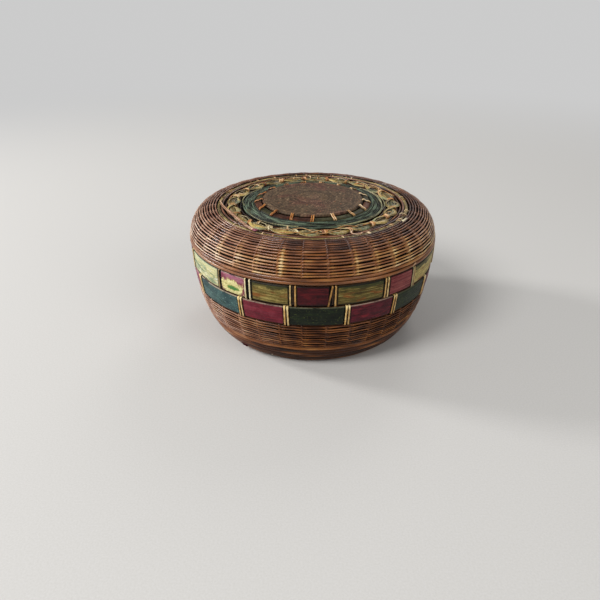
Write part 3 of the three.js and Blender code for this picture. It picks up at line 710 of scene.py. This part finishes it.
def coil(shell, wall, s, half, tone, warm):
    """A stout smooth strand along an edge, painted paler and less warm on the lit left side."""
    angle = full_turn(180)
    path, normal = wall.point(s + wobble(angle, 0.12), angle, half * 1.02)
    thick = half * (1 + wobble(angle, 0.03))
    painted_lit = painted_base_light(angle)
    own = tone + wobble(angle, 0.08, (1, 2, 3, 5, 9, 17)) + 0.14 * painted_lit
    tube(shell, path, normal, thick, thick, 8, closed=True, tone=own, warm=warm - 0.5 * painted_lit)


def inner_ring(shell, radius, z):
    """A strand inside the wall that closes it towards the hoop."""
    strand(shell, full_turn(120), radius, z, OUT, 0.75, 0.75, sides=8, closed=True, tone=0.35, warm=0.8)


def rubbed_stakes(angle, s):
    """How much paler the rows are where they cross the palest stakes."""
    total = np.zeros_like(angle)
    for i, pale in LID_LADDERS.items():
        total = total + bell((angle - STAKE_ANGLES[i]) / 1.1) * (pale - 0.42) * bell((s - 24) / 14)
    return total


def lid_weave():
    """Fine rows, and stout coils at the rim."""
    shell = Shell("lid_rows", "lid", WEAVER, "brown_weave", "lid_weave")
    pitch = (shoulder.length - LID_COILS * LID_COIL_PITCH) / LID_ROWS
    for row in range(LID_ROWS):
        share = row / (LID_ROWS - 1)
        s = pitch * (row + 0.5)
        base = 0.62 + jitter(0.02) - 0.28 * (1 - share) ** 1.2
        warm = 0.5 + 0.35 * share

        # Painted light: the rows are lighter on the lit left side and low on the right, and less warm on
        # the left; rubbed stakes make them paler.
        def tone(angle):
            right = 0.3 * painted_side_light(-angle) * share
            return base + 0.27 * painted_side_light(angle) + right + rubbed_stakes(angle, s)

        def hue(angle):
            return warm * (1 - 0.9 * painted_side_light(angle)) + 2 * rubbed_stakes(angle, s)

        stout = 0.4 * (1 - share) ** 1.3
        twined_row(shell, shoulder, s, pitch, row % 2, tone, hue, 0.03, painted_side_light, stout)
    for i in range(LID_COILS):
        s = shoulder.length - LID_COIL_PITCH * (LID_COILS - 0.5 - i)
        coil(shell, shoulder, s, LID_COIL_PITCH * 0.5, 0.47, 1)
    inner_ring(shell, *LID_INNER_RING)


def base_weave():
    """Stout smooth coils over the foot, then fine rows up to the band."""
    shell = Shell("base_rows", "base", FOOT_WEAVER, "brown_weave", "base_weave")
    start = float(np.interp(BASE_COILS_Z, bowl.z, bowl.s))
    coils_end = start + BASE_COILS * BASE_COIL_PITCH
    pitch = (bowl.length - coils_end) / BASE_ROWS
    for row in range(BASE_ROWS):
        # Painted light and shade: the rows are darker towards the front, where the belly is in shade, and
        # lighter and less warm on the lit left.
        twined_row(shell, bowl, coils_end + pitch * (row + 0.5), pitch, row % 2,
                   lambda angle: 0.56 - 0.12 * np.cos(np.radians(angle)) + 0.26 * painted_base_light(angle),
                   lambda angle: 0.95 - 0.85 * painted_base_light(angle), 0.05, painted_base_light)
    for i in range(BASE_COILS):
        tone = 0.46 if i == BASE_COILS - 1 else 0.29 + jitter(0.05)
        s = start + BASE_COIL_PITCH * (i + 0.5)
        coil(shell, bowl, s, BASE_COIL_PITCH * 0.525, tone, 0.95)
    for ring in BASE_INNER_RINGS:
        inner_ring(shell, *ring)


def ladder(i, pale):
    return pale.get(i, 0.3 + 0.12 * rng.random())


def ring_bed(radius):
    """Height of the top of the crown's stakes, with the gap over them."""
    share = np.minimum((np.asarray(radius, float) - BED_START[0]) / BED_RUN, 1)
    return BED_START[1] - BED_FALL * share + BED_GAP


def stakes(shell, wall, s, depth, before, after, tones):
    """Stakes from the hub along the wall and down behind the hoop. before and after are rows of
    radius, height and how far they face out and up."""
    r, z, out, up = wall.at(s)
    along = [r - depth * out, z - depth * up, out, up]
    radii, heights, outs, ups = np.hstack([before, along, after])
    for i, angle in enumerate(STAKE_ANGLES):
        strand(shell, angle, radii, heights, (outs, ups), *STAKE_HALF, squareness=0.7,
               tone=tones(i, len(radii)))


def lid_stakes():
    flat = 12
    flat_r = np.linspace(*LID_STAKE_FLAT, flat)
    before = [flat_r, ring_bed(flat_r) - BED_GAP, np.zeros(flat), np.ones(flat)]
    after = [*LID_STAKE_END, [1, 1, 1], [0, 0, 0]]
    s = np.linspace(0, shoulder.length - STAKE_INSET, 18)

    def tones(i, count):
        tone = ladder(i, LID_LADDERS) + rng.normal(size=count) * 0.03
        # Painted shade: the flat runs under the crown are near-black, and lighten where the stakes come out
        # from under it.
        tone[:flat] = 0.05
        tone[flat : flat + 6] = np.linspace(0.12, 0.34, 6)
        return tone

    shell = Shell("lid_frame", "lid", STAKE, "pale_stake", "lid_stakes")
    stakes(shell, shoulder, s, 2.6 - 0.75 * np.clip(s / 5, 0, 1), before, after, tones)
    woven_disc(shell, HUB_R, *LID_HUB_Z, 1.6, 0.25)


def base_stakes():
    flat = 8
    flat_r = np.linspace(*BASE_STAKE_FLAT, flat)
    before = [[*flat_r, 73.5], [3.75] * flat + [4], [0] * flat + [0.3], [-1] * (flat + 1)]
    after = [*BASE_STAKE_END, [1, 1, 1], [0, 0, 0]]
    s = np.linspace(4, bowl.length - STAKE_INSET, 18)
    shell = Shell("base_frame", "base", STAKE, "pale_stake", "base_stakes")
    stakes(shell, bowl, s, 1.85, before, after, lambda i, count: ladder(i, BASE_LADDERS))
    woven_disc(shell, HUB_R, *BASE_HUB_Z, 1.6, 0.4)


def woven_disc(shell, radius, low, high, pitch, tone, dome=0, rounding=0, relief=0.3,
               streaks=0.1, steps=384):
    """A round mat of rows that go over and under, on both sides."""
    rows = int(radius / pitch)
    pitch = radius / rows
    r = np.linspace(0.2, radius, rows * 4 + 1)
    rr, aa = np.meshgrid(r, full_turn(steps), indexing="ij")
    row = np.minimum(np.floor(rr / pitch - 1e-6), rows - 1).astype(int)
    spokes = np.where(rr < radius * 0.2, 24, np.where(rr < radius * 0.5, 48, 96))
    within = np.cos((rr / pitch - row - 0.5) * math.pi)
    turn = aa / FULL_TURN * spokes + row * 0.3
    wave = 1 + 0.6 * np.cos(turn * 2 * math.pi)
    fade = np.clip(rr / 9, 0.15, 1)
    height = relief * fade * (np.sqrt(np.clip(within, 0, 1)) * wave - 1.6)
    edge = np.clip((radius - rr) / max(rounding, 0.4), 0, 1)
    drop = rounding * (1 - np.sqrt(1 - (1 - edge) ** 2)) + dome * (rr / radius) ** 2
    strokes = rng.normal(size=(rows, 97))[row, np.floor(turn + 0.5).astype(int) % spokes]
    lanes = rng.normal(size=rows)[row]
    # Painted shade: the tone follows the height of the weave, darker in its dips; rows and strokes add
    # streaks.
    shade = tone + 0.05 * lanes + streaks * strokes + height + 0.8 * relief
    top = around(aa, rr, high + height - drop)
    bottom = around(aa, rr, low - height * 0.5 - 0.15)
    faces = grid(len(r), steps)
    j = np.arange(steps)
    k = (j + 1) % steps
    count = rr.size
    wall = count - steps + np.stack([count + j, count + k, k, j], -1)
    parts = [faces[:, ::-1], faces + count, wall, fan(steps, False), fan(steps, True) + count]
    points = np.concatenate([top, bottom]).reshape(-1, 3)
    shell.add(points, parts, tone=np.tile(shade.ravel(), 2))


# Crown


def centre_disc():
    shell = Shell("crown_disc", "lid", DARK_WEAVE, "dark_weave", "centre_disc")
    woven_disc(shell, DISC_R, *DISC_Z, 1.25, 0.5, dome=0.35, rounding=1.5, relief=0.2, streaks=0.09)


def ring_strip(shell, inner, outer, thick, angles, wave=0, drift=0, tone=0):
    """A flat ring or part of one with a crowned top, on the crown's stakes."""
    across = np.linspace(-1, 1, 9)
    radius = (inner + outer) / 2 + across * (outer - inner) / 2
    bed = ring_bed(radius)
    top = bed + thick * (0.35 + 0.65 * (1 - across**2) ** 0.5) + wobble(angles, wave)[:, None]
    under = np.broadcast_to(bed[::-1], top.shape)
    r = np.r_[radius, radius[::-1]] + np.broadcast_to(drift, angles.shape)[:, None]
    rings = around(angles[:, None], r, np.hstack([top, under]))
    edge = np.abs(np.r_[across, across[::-1]]) ** 3
    closed = angles[-1] - angles[0] > 350
    shell.add_rings(rings, closed, flip=False, edge=edge[None], side=0.5, tone=tone)


def disc_border():
    maroon = Shell("border_maroon", "lid", PAINTS["border_maroon"], "painted_maroon", "disc_border")
    green = Shell("border_green", "lid", PAINTS["border_green"], "painted_green")
    block = FULL_TURN / len(STITCHES)
    for i, start in enumerate(STITCHES):
        angles = np.linspace(start + 0.9, start + block - 0.9, 12)
        shell = maroon if i in MAROON_BLOCKS else green
        tone = jitter(0.05) + (0.22 if i == BRIGHT_BLOCK else 0)
        ring_strip(shell, *BORDER_R, 1.5, angles, tone=tone)


def green_ring():
    shell = Shell("crown_green", "lid", PAINTS["green_ring"], "painted_green", "green_ring")
    angles = full_turn(192)
    edges = np.linspace(*GREEN_R, 8)
    for inner, outer in zip(edges[:-1], edges[1:]):
        # Painted light: a little lighter on the lit left side.
        tone = wobble(angles, 0.16) + jitter(0.08) - 0.05 + 0.06 * painted_side_light(angles)
        shift = wobble(angles, 0.14, (2, 3, 5, 7))
        thick = 1.4 + jitter(0.15)
        ring_strip(shell, inner, outer + 0.05, thick, angles, 0.12, shift, tone)
    shell = Shell("crown_strands", "lid", SPLINT, "painted_green")
    for i, (first, last) in enumerate(GREEN_STRANDS):
        angle = np.linspace(first, last, 48)
        bow = np.sin(np.linspace(0, math.pi, 48))
        radius = GREEN_STRAND_R + (1.2 + 0.9 * (i % 3)) * bow + wobble(angle, 0.15, (3, 5, 8))
        z = ring_bed(radius) + 1.35 + 0.15 * (i % 2)
        strand(shell, angle, radius, z, (0.3, 1), 0.5, 0.38, tone=0.04 + wobble(angle, 0.12), hue=0.9)


def openwork():
    """Two splints wound round each other, with leaves in their loops and thin strands over them."""
    samples = 480
    angle = full_turn(samples)
    phase = np.radians(angle - FIRST_CROSSING) * CROSSINGS / 2
    for side, letter in ((1, "a"), (-1, "b")):
        shell = Shell(f"loops_{letter}", "lid", SPLINT, "painted_olive", f"openwork_splint_{letter}")
        swing = side * np.sin(phase) * (OPENWORK_REACH + wobble(angle, 0.35, (3, 7, 11)))
        radius = OPENWORK_R + (swing + wobble(angle, 0.3, (2, 5, 9)))
        z = OPENWORK_Z + 0.2 + side * 0.6 * np.cos(phase) + wobble(angle, 0.1)
        lean = side * 0.5 * np.sin(phase)
        strand(shell, angle, radius, z, (np.sin(lean), np.cos(lean)),
               1.2 + wobble(angle, 0.2, (5, 9, 14, 23)), 0.4, sides=8, closed=True, squareness=0.6,
               tone=0.1 + wobble(angle, 0.16, (3, 7, 12, 19, 31)),
               hue=np.clip(0.3 + wobble(angle, 0.3), 0, 1))
    shell = Shell("loops_core", "lid", SPLINT, "painted_olive")
    run = np.linspace(-1, 1, 13)
    full = np.cos(run * math.pi / 2)
    for i in range(CROSSINGS):
        middle = FIRST_CROSSING + CROSSING_GAP * (i + 0.5)
        hue = rng.random() ** 1.5
        for offset, share in ((0, 1), (rng.uniform(-2.6, -1.7), 0.45), (rng.uniform(1.7, 2.6), 0.4)):
            wide = 0.4 + 2.3 * share * full**0.8 * rng.uniform(0.8, 1.1)
            rise = 0.5 + 0.35 * (share < 1)
            z = OPENWORK_Z - 0.75 + rise * full + jitter(0.1)
            radius = OPENWORK_R + offset * full + jitter(0.3)
            lean = jitter(0.2) + 0.2 * offset
            tone = jitter(0.1) - 0.02 + 0.12 * near_front(middle)
            strand(shell, middle + run * 9.2, radius, z, (math.sin(lean), math.cos(lean)), wide, 0.3,
                   sides=8, squareness=0.6, tone=tone, hue=hue + 0.2 * share)
    shell = Shell("loops_strands", "lid", ORANGE, "golden_cane")
    for waves in (0.5, 1, 0.3, 0.5, 1):
        swing = 4.6 * np.sin(phase * waves + rng.uniform(0, 6)) + wobble(angle, 0.5)
        lift = 0.9 + 0.5 * np.cos(phase * 2 + rng.uniform(0, 6))
        cut = rng.integers(0, samples)
        part = (np.arange(rng.integers(40, 110)) + cut) % samples
        strand(shell, angle[part], OPENWORK_R + swing[part], OPENWORK_Z + lift[part], UP, 0.38, 0.3,
               tone=jitter(0.1) - 0.1, hue=rng.random())


def wrap(shell, angle, centre, reach, shift, size, turned=False, **values):
    """A turn of cane round a strip. shift moves it along the strip, and its faces turn with it or
    keep to the angle."""
    c, s = np.cos(LOOP), np.sin(LOOP)
    r = centre[0] + reach[0] * squared(c, 0.8)
    z = centre[1] + reach[1] * squared(s, 0.8)
    moved = angle + np.degrees(shift / centre[0])
    normal = outward_of(moved if turned else angle, c, s)
    tube(shell, around(moved, r, z), normal, *size, closed=True, **values)


def crossing_ties():
    """Wraps at the crossings, smaller ones over the leaves, and stitches on the olive ring."""
    shell = Shell("crossing_ties", "lid", ORANGE, "golden_cane")
    skew = np.cos(LOOP)
    for i in range(CROSSINGS):
        angle = FIRST_CROSSING + i * CROSSING_GAP + jitter(0.5)
        plain = (2 + i % 4, jitter(0.9), 0.6 * rng.random() ** 2)
        turns, slant, hue = KNOTS.get(i, plain)
        for k in range(turns):
            shift = k - (turns - 1) / 2 + jitter(0.12)
            reach = (2.5 + jitter(0.35), 1.4)
            shift = shift + (slant + jitter(0.3)) * skew
            wrap(shell, angle, (OPENWORK_R, OPENWORK_Z + 0.15), reach, shift, (0.5, 0.34),
                 tone=jitter(0.14) - 0.04, hue=hue)
    for _ in range(13):
        angle = FIRST_CROSSING + CROSSING_GAP * (rng.integers(0, CROSSINGS) + 0.5) + jitter(2)
        for k in range(2):
            shift = k - 0.5 + jitter(0.8) * skew
            wrap(shell, angle, (OPENWORK_R + jitter(2.5), OPENWORK_Z + 0.1), (1.9, 1.2), shift,
                 (0.45, 0.32), tone=jitter(0.14), hue=0.4)
    for _ in range(34):
        wrap(shell, rng.uniform(0, FULL_TURN), OLIVE_RING, (1.5, 0.95), 0.3 * skew, (0.5, 0.3), True,
             tone=jitter(0.16), hue=0.3)


def border_stitches():
    shell = Shell("border_stitches", "lid", ORANGE, "golden_cane")
    along = np.linspace(-1, 1, len(STITCH_R))
    for i, angle in enumerate(STITCHES):
        slant = (0.9, -0.5, 0.3, 1, -0.9)[i % 5]
        gap = rng.uniform(0.6, 0.85)
        for shift in (-gap, gap):
            r = STITCH_R + jitter(0.2)
            turned = angle + np.degrees((shift + along * slant + jitter(0.1)) / r)
            # The stitches' colour paints the side light: darker on the lit left, creamier on the right.
            tone = jitter(0.1) + 0.04 - 0.16 * painted_side_light(angle)
            strand(shell, turned, r, STITCH_Z, (along * 0.9, 1 - 0.5 * np.abs(along)), 0.55, 0.38,
                   tone=tone, hue=0.45 * painted_side_light(-angle))


def crown_coils():
    angle = full_turn(256)
    shell = Shell("crown_bed", "lid", FOOT_WEAVER, "brown_weave")
    for radius, tone in CROWN_STRANDS:
        strand(shell, angle, radius + wobble(angle, 0.25), CROWN_STRAND_Z + wobble(angle, 0.1), UP, 0.75,
               0.5, closed=True, tone=tone + wobble(angle, 0.14), warm=0.8)
    at = np.arange(4) / 4
    spans = len(STAKE_ANGLES)
    turned = between_stakes(at)
    over = np.cos(np.tile(at, spans) * math.pi) * np.repeat((-1) ** np.arange(spans), len(at))
    for row, radius in enumerate(np.arange(*MAT_R, MAT_PITCH)):
        tone = 0.4 + jitter(0.06)
        for side in (-1, 1):
            moved = radius + 0.4 * side * (1 - np.abs(over))
            z = ring_bed(moved) - BED_GAP + 0.7 * side * over * (-1) ** row
            # behind=1 paints the mat's upper face near-black, as painted shade.
            strand(shell, turned, moved, z, UP, 1.05, 0.3, closed=True, tone=tone, warm=0.7, behind=1)
    radius, z = INNER_COIL
    shell = Shell("crown_coil", "lid", WEAVER, "brown_weave", "inner_coil")
    strand(shell, angle, radius + wobble(angle, 0.12), z, UP, 0.85, 0.8, sides=8, closed=True,
           tone=0.42 + wobble(angle, 0.08), warm=0.3)
    radius, z = OLIVE_RING
    shell = Shell("crown_olive", "lid", SPLINT, "painted_olive", "olive_ring")
    strand(shell, angle, radius + wobble(angle, 0.12), z + wobble(angle, 0.08), UP, 1.15, 0.65, sides=8,
           closed=True, squareness=0.8, tone=wobble(angle, 0.09))


def loose_splint():
    """A broken peach reed over the left of the openwork, with thinner ones and a red end."""
    shell = Shell("loose_reed", "lid", PEACH, "golden_cane", "loose_splint")
    for shift, start, width, tone in ((0, 0, 0.5, 0), (1.2, 0.12, 0.36, -0.1), (-1, 0.34, 0.32, -0.16)):
        share = np.linspace(start, 1, 26)
        bow = np.sin(share * math.pi)
        first, run, radius, inwards, z, rise = REED
        strand(shell, first + run * share, radius + shift - inwards * bow, z + rise * bow, UP, width,
               0.4, tone=tone + 0.05 * np.sin(share * 21), hue=0)
    shell = Shell("reed_end", "lid", PAINTS["maroon_rose"], "painted_maroon")
    run = np.linspace(-1, 1, 9)
    bow = 1 - run**2
    angle = -34.6 + run * 1.4
    for shift, lean in ((0, 0), (0.9, 0.5), (-0.8, -0.6)):
        strand(shell, angle, 75.6 + shift + lean * run, 102.7 + 0.5 * bow, UP, 0.35 + 0.6 * bow, 0.5,
               sides=8, tone=0.12, edge=0.2, side=0.5, turn=np.radians(angle))


def broken_ends(shell, table):
    run = np.linspace(0, 1, 9)
    for start, reach, facing, lean, width, thick, tone, hue in table:
        angle, radius, z = (a + b * run for a, b in zip(start, reach))
        strand(shell, angle, radius, z, lean, width, thick, facing=facing + run, tone=tone, hue=hue)


def broken_bits():
    """Short ends that stand out of the weave."""
    run = np.linspace(0, 1, 9)
    curl = run * 4.2
    shell = Shell("lid_ends", "lid", PEACH, "golden_cane")
    strand(shell, 24 + 3.2 * np.cos(curl), 74.2 + 3 * np.sin(curl), 102.6 + 1.2 * run, UP, 0.6, 0.35,
           tone=0.1)
    broken_ends(shell, LID_ENDS)
    shell = Shell("base_ends", "base", PEACH, "golden_cane")
    broken_ends(shell, BASE_ENDS)
    shell = Shell("base_red_end", "base", PAINTS["maroon_dark"], "painted_maroon")
    angle = -42.9 + 4.5 * run
    strand(shell, angle, 82.9 + 1.5 * np.sin(run * 3), 8.4 - 2.6 * run, (1, 0.2), 1, 0.5,
           facing=-42 + run, tone=-0.1, edge=0.3, side=0.5, turn=np.radians(angle))


# Rim bands


class Band:
    """The sloping face between two corners of the outline, and its hoop."""

    def __init__(self, low, high, hoop_z):
        self.low, self.high, self.hoop_z = low, high, hoop_z
        self.middle = sum(hoop_z) / 2

    def face(self, z):
        share = (z - self.low[1]) / (self.high[1] - self.low[1])
        return self.low[0] + (self.high[0] - self.low[0]) * share


base_band = Band(BOWL_TOP, SPLIT, BASE_HOOP_Z)
lid_band = Band(SPLIT, LID_BAND_TOP, LID_HOOP_Z)


def panel(body, number, colour, band, start, end, clear, finish, tone):
    """A painted splint from tie to tie. clear is the bare width beside each."""
    low, high = band.hoop_z
    to_deg = math.degrees(1 / band.face(band.middle))
    first, last = start + 0.5 * to_deg, end - 0.5 * to_deg
    paint_from, paint_to = start + clear[0] * to_deg, end - clear[1] * to_deg
    steps = np.array([0, 0.25, 0.6, 1.2]) * to_deg
    inner = np.linspace(paint_from + 1.8 * to_deg, paint_to - 1.8 * to_deg, max(4, int(end - start)))
    lip = 0.15 * to_deg
    angle = np.r_[first, paint_from - lip, paint_from + steps, inner, (paint_to - steps)[::-1],
                  paint_to + lip, last]
    inside = np.clip(np.minimum(angle - paint_from, paint_to - angle) / to_deg, -0.15, 2)
    sunk = np.interp(inside, [-0.15, 0, 0.25, 0.6, 1.2], [0.5, 0.28, 0.12, 0.03, 0])
    v = np.linspace(0, 1, 21)
    off = np.abs(2 * v - 1)
    edge_drop = 0.55 * np.clip(off - 0.84, 0, 1) ** 2 / 0.0256
    ridges = 0.05 * np.sin(v * math.pi * 12 + rng.uniform(0, 6)) + 0.05 * rng.normal(size=21)
    rise = 0.25 * (1 - off**2) - edge_drop + ridges
    z = low + v * (high - low)
    sag = 0.06 * np.sin((angle - start) / (end - start) * math.pi * 2 + rng.uniform(0, 6))
    outer = band.face(z) + rise - sunk[:, None] - 0.12
    back = np.broadcast_to([band.face(high) - 0.9, band.face(low) - 0.9], (len(angle), 2))
    r = np.hstack([outer, back])
    z = np.r_[z, high, low] + sag[:, None]
    side = np.r_[v, 1, 0][None]
    flat_edge = np.r_[np.clip((off - 0.78) / 0.2, 0, 1.1), 1, 1]
    edge = np.maximum(np.clip(1 - inside / 1.1, 0, 1.2)[:, None], flat_edge)
    flaked, core = 0, 0
    if f"{body}_{number}" in FLAKES:
        at_angle, at_v, wide, tall = FLAKES[f"{body}_{number}"]
        away, above = (angle[:, None] - at_angle) / wide, (side - at_v) / tall
        flaked = 1.1 * bell(away) * bell(above)
        core = bell(1.7 * away - 0.2) * bell(3 * above + 0.2)
    shell = Shell(f"{body}_splint_{number}", body, PAINTS[finish], f"painted_{colour}",
                  f"{body}_panel_{number}_{colour}")
    shell.add_rings(around(angle[:, None], r, z), bare=np.where(inside < -0.01, 1, 0), edge=edge,
                    side=side, flake=flaked, core=core, tone=tone, turn=np.radians(angle))


def all_ties(front, back_panels, maroon_span):
    """The ties at the front, then those at even steps round the back."""
    ties = list(front)
    to_fill = FULL_TURN - (front[-1] - front[0])
    maroons = math.ceil(back_panels / 2)
    other = (to_fill - maroons * maroon_span) / (back_panels - maroons)
    for i in range(back_panels - 1):
        ties.append(ties[-1] + (maroon_span if i % 2 == 0 else other))
    return ties


def panels(body, band, ties, colours, finishes, spare, clears, wide):
    """The painted splints of a band. clears holds the ties with less bare splint than wide."""
    for i, (start, end) in enumerate(zip(ties, ties[1:] + [ties[0] + FULL_TURN])):
        number = f"{i + 1:02d}"
        choice = spare[i % 2]
        finish = finishes[i] if i < len(finishes) else choice[i // 2 % len(choice)]
        clear = (clears.get(i, wide), clears.get((i + 1) % len(ties), wide))
        tone = PANEL_TONES.get(f"{body}_{number}", 0) + jitter(0.03)
        panel(body, number, colours[i % 2], band, start, end, clear, finish, tone)


def lashing(body, band, ties, turns, usual, top_curl):
    """The strand that binds panels to hoop. Each turn has its shift, slant, tone and hue."""
    shell = Shell(f"{body}_ties", body, CANE, "golden_cane", f"{body}_lashing")
    low, high = band.hoop_z
    full, flat, clear, ahead = 0.36, 0.2, 0.25, 7
    top, bottom = high + clear + flat, low - clear - flat
    top_r, low_r, back_r = band.face(top), band.face(bottom), band.face(band.middle) - 3.2
    front = np.linspace(bottom + 0.5, top - 0.5, ahead)
    face = band.face(front) + 0.28 + 0.12 * np.cos(np.linspace(-1, 1, ahead) * 1.5)
    over = np.array([(top_r - 0.5, top, 0.7, 0.7), (top_r - 1.6, top, 0, 1), (back_r + 0.5, top, -0.5, 0.6),
                     (back_r, top - 0.8, -1, 0), (back_r, bottom + 0.8, -1, 0),
                     (back_r + 0.5, bottom, -0.5, -0.6), (low_r - 1.6, bottom, 0, -1),
                     (low_r - 0.5, bottom, 0.7, -0.7)]).T
    r, z, outs, ups = np.hstack([[face, front, np.ones(ahead), np.zeros(ahead)], over])
    half = flat + (full - flat) * np.clip(outs, 0, 1) ** 4
    height = (z - band.middle) / (high - low)
    width = 0.66 + top_curl * bell((z - top) / 1.6) * (outs > -0.2)
    # Painted highlight: the turns are paler where they curl over the top of the band.
    pale = 0.14 * bell((z - top) / 3) * (top_curl > 0)
    for i, (tie, end) in enumerate(zip(ties, ties[1:] + [ties[0] + FULL_TURN])):
        for shift, slant, tone, hue in turns[i] if i < len(turns) else usual:
            shift = shift + slant * height * 2 + rng.normal(size=len(z)) * 0.05
            moved = tie + np.degrees(shift / band.face(low))
            own = tone + jitter(0.03) + pale
            strand(shell, moved, r, z, (outs, ups), width, half, sides=8, closed=True, tone=own, hue=hue)
        middle = band.middle + np.linspace(-3, 3, 10)
        strand(shell, np.linspace(tie, end, 10), band.face(middle) - 3.15, middle, OUT, 0.6, 0.22,
               tone=-0.08)


def rounded_ring(name, body, inner, outer, low, high, round_by, node):
    """inner and outer give the radius at a height."""
    outline = []
    corners = [(outer, low, 1, 1), (outer, high, 1, -1), (inner, high, -1, -1), (inner, low, -1, 1)]
    for k, (radius, z, out, up) in enumerate(corners):
        for turn in (0, math.pi / 4, math.pi / 2):
            a, b = (math.sin(turn), math.cos(turn))[:: -1 if k % 2 else 1]
            outline.append((radius(z) - out * round_by * (1 - a), z + up * round_by * (1 - b)))
    r, z = np.array(outline).T
    shell = Shell(name, body, HOOP_WOOD, "hoop_wood", node)
    shell.add_rings(around(full_turn(160)[:, None], r, z), closed=True)


def hoops_and_collar():
    for body, band in (("lid", lid_band), ("base", base_band)):
        rounded_ring(f"{body}_ring", body, lambda z: band.face(z) - HOOP_DEPTH[0],
                     lambda z: band.face(z) - HOOP_DEPTH[1], *band.hoop_z, 0.35, f"{body}_hoop")
    rounded_ring("collar_ring", "base", lambda z: COLLAR_R[0], lambda z: COLLAR_R[1], *COLLAR_Z, 0.5,
                 "collar")


def floor_and_foot():
    shell = Shell("woven_floor", "base", DARK_WEAVE, "brown_weave", "base_floor")
    woven_disc(shell, FLOOR_MAT_R, *FLOOR_MAT_Z, 2, 0.5, steps=336)
    shell = Shell("foot_coils", "base", FOOT_WEAVER, "brown_weave", "foot_ring")
    angle = full_turn(192)
    for radius, z, half in FOOT_COILS:
        strand(shell, angle, radius + wobble(angle, 0.08), z, (0.3, -1), half, half, sides=10,
               closed=True, tone=0.5 + wobble(angle, 0.06), warm=0.8)


for make in (lid_weave, base_weave, lid_stakes, base_stakes, centre_disc, disc_border, green_ring,
             openwork, crossing_ties, border_stitches, crown_coils, loose_splint, broken_bits):
    make()
lid_ties = all_ties(LID_TIES, *LID_BACK)
base_ties = all_ties(BASE_TIES, *BASE_BACK)
panels("lid", lid_band, lid_ties, ("olive", "maroon"), LID_FINISHES, LID_SPARE, LID_CLEARS, 2.9)
panels("base", base_band, base_ties, ("green", "maroon"), BASE_FINISHES, BASE_SPARE, {}, 2.3)
lashing("lid", lid_band, lid_ties, LID_TURNS, LID_USUAL_TURNS, 0)
lashing("base", base_band, base_ties, (), BASE_TURNS, 0.22)
hoops_and_collar()
floor_and_foot()
for shell in Shell.made:
    shell.build()


# Floor, light and camera, in metres


def make_stage():
    """A flat floor that fades, far off, into the level behind it."""
    mesh = bpy.data.meshes.new("floor")
    turns = np.radians(full_turn(96))
    points = [(FLOOR_R * math.cos(t), FLOOR_R * math.sin(t), 0) for t in turns]
    mesh.from_pydata(points, [], [tuple(range(len(points)))])
    f = Finish("floor_paper")
    speck = f.noise(900, 2)
    f.shade({"Base Color": f.ramp(speck, (0.3, "c9c7c3"), (0.7, "d0cecb")), "Roughness": 0.85})
    away = f.node("ShaderNodeVectorMath", {0: f.place}, "Value", operation="LENGTH")
    seen = f.node("ShaderNodeLightPath", result="Is Camera Ray")
    glow = f.node("ShaderNodeEmission", {"Strength": BACKDROP_LEVEL})
    share = f.times(f.step(away, *FLOOR_FADE), seen)
    both = f.node("ShaderNodeMixShader", {0: share, 1: f.shader.outputs[0], 2: glow})
    f.fill(f.output, {"Surface": both})
    mesh.materials.append(f.material)
    put("floor", mesh)


def add_lamp(name, place, size, power):
    data = bpy.data.lights.new(name, "AREA")
    data.shape = "DISK"
    data.size = size
    data.energy = power
    x, y, z = np.subtract(LAMP_TARGET, place)
    put(name, data, place, (math.atan2(math.hypot(x, y), -z), 0, math.atan2(y, x) - math.pi / 2))


def make_light():
    world = bpy.data.worlds.new("studio")
    w = Nodes(world)
    seen = w.node("ShaderNodeLightPath", result="Is Camera Ray")
    level = w.math("MULTIPLY_ADD", seen, BACKDROP_LEVEL - WORLD_LEVEL, WORLD_LEVEL)
    w.fill(w.tree.nodes["Background"], {"Color": "ffffff", "Strength": level})
    bpy.context.scene.world = world
    for lamp in LAMPS:
        add_lamp(*lamp)


def make_camera():
    data = bpy.data.cameras.new("camera")
    data.lens = CAMERA_LENS
    data.sensor_width = CAMERA_SENSOR
    data.clip_start = 0.01
    camera = put("camera", data, CAMERA_PLACE, (math.radians(90 - CAMERA_DOWN), 0, 0))
    bpy.context.scene.camera = camera


make_stage()
make_light()
make_camera()
bpy.context.scene.view_settings.view_transform = "Standard"
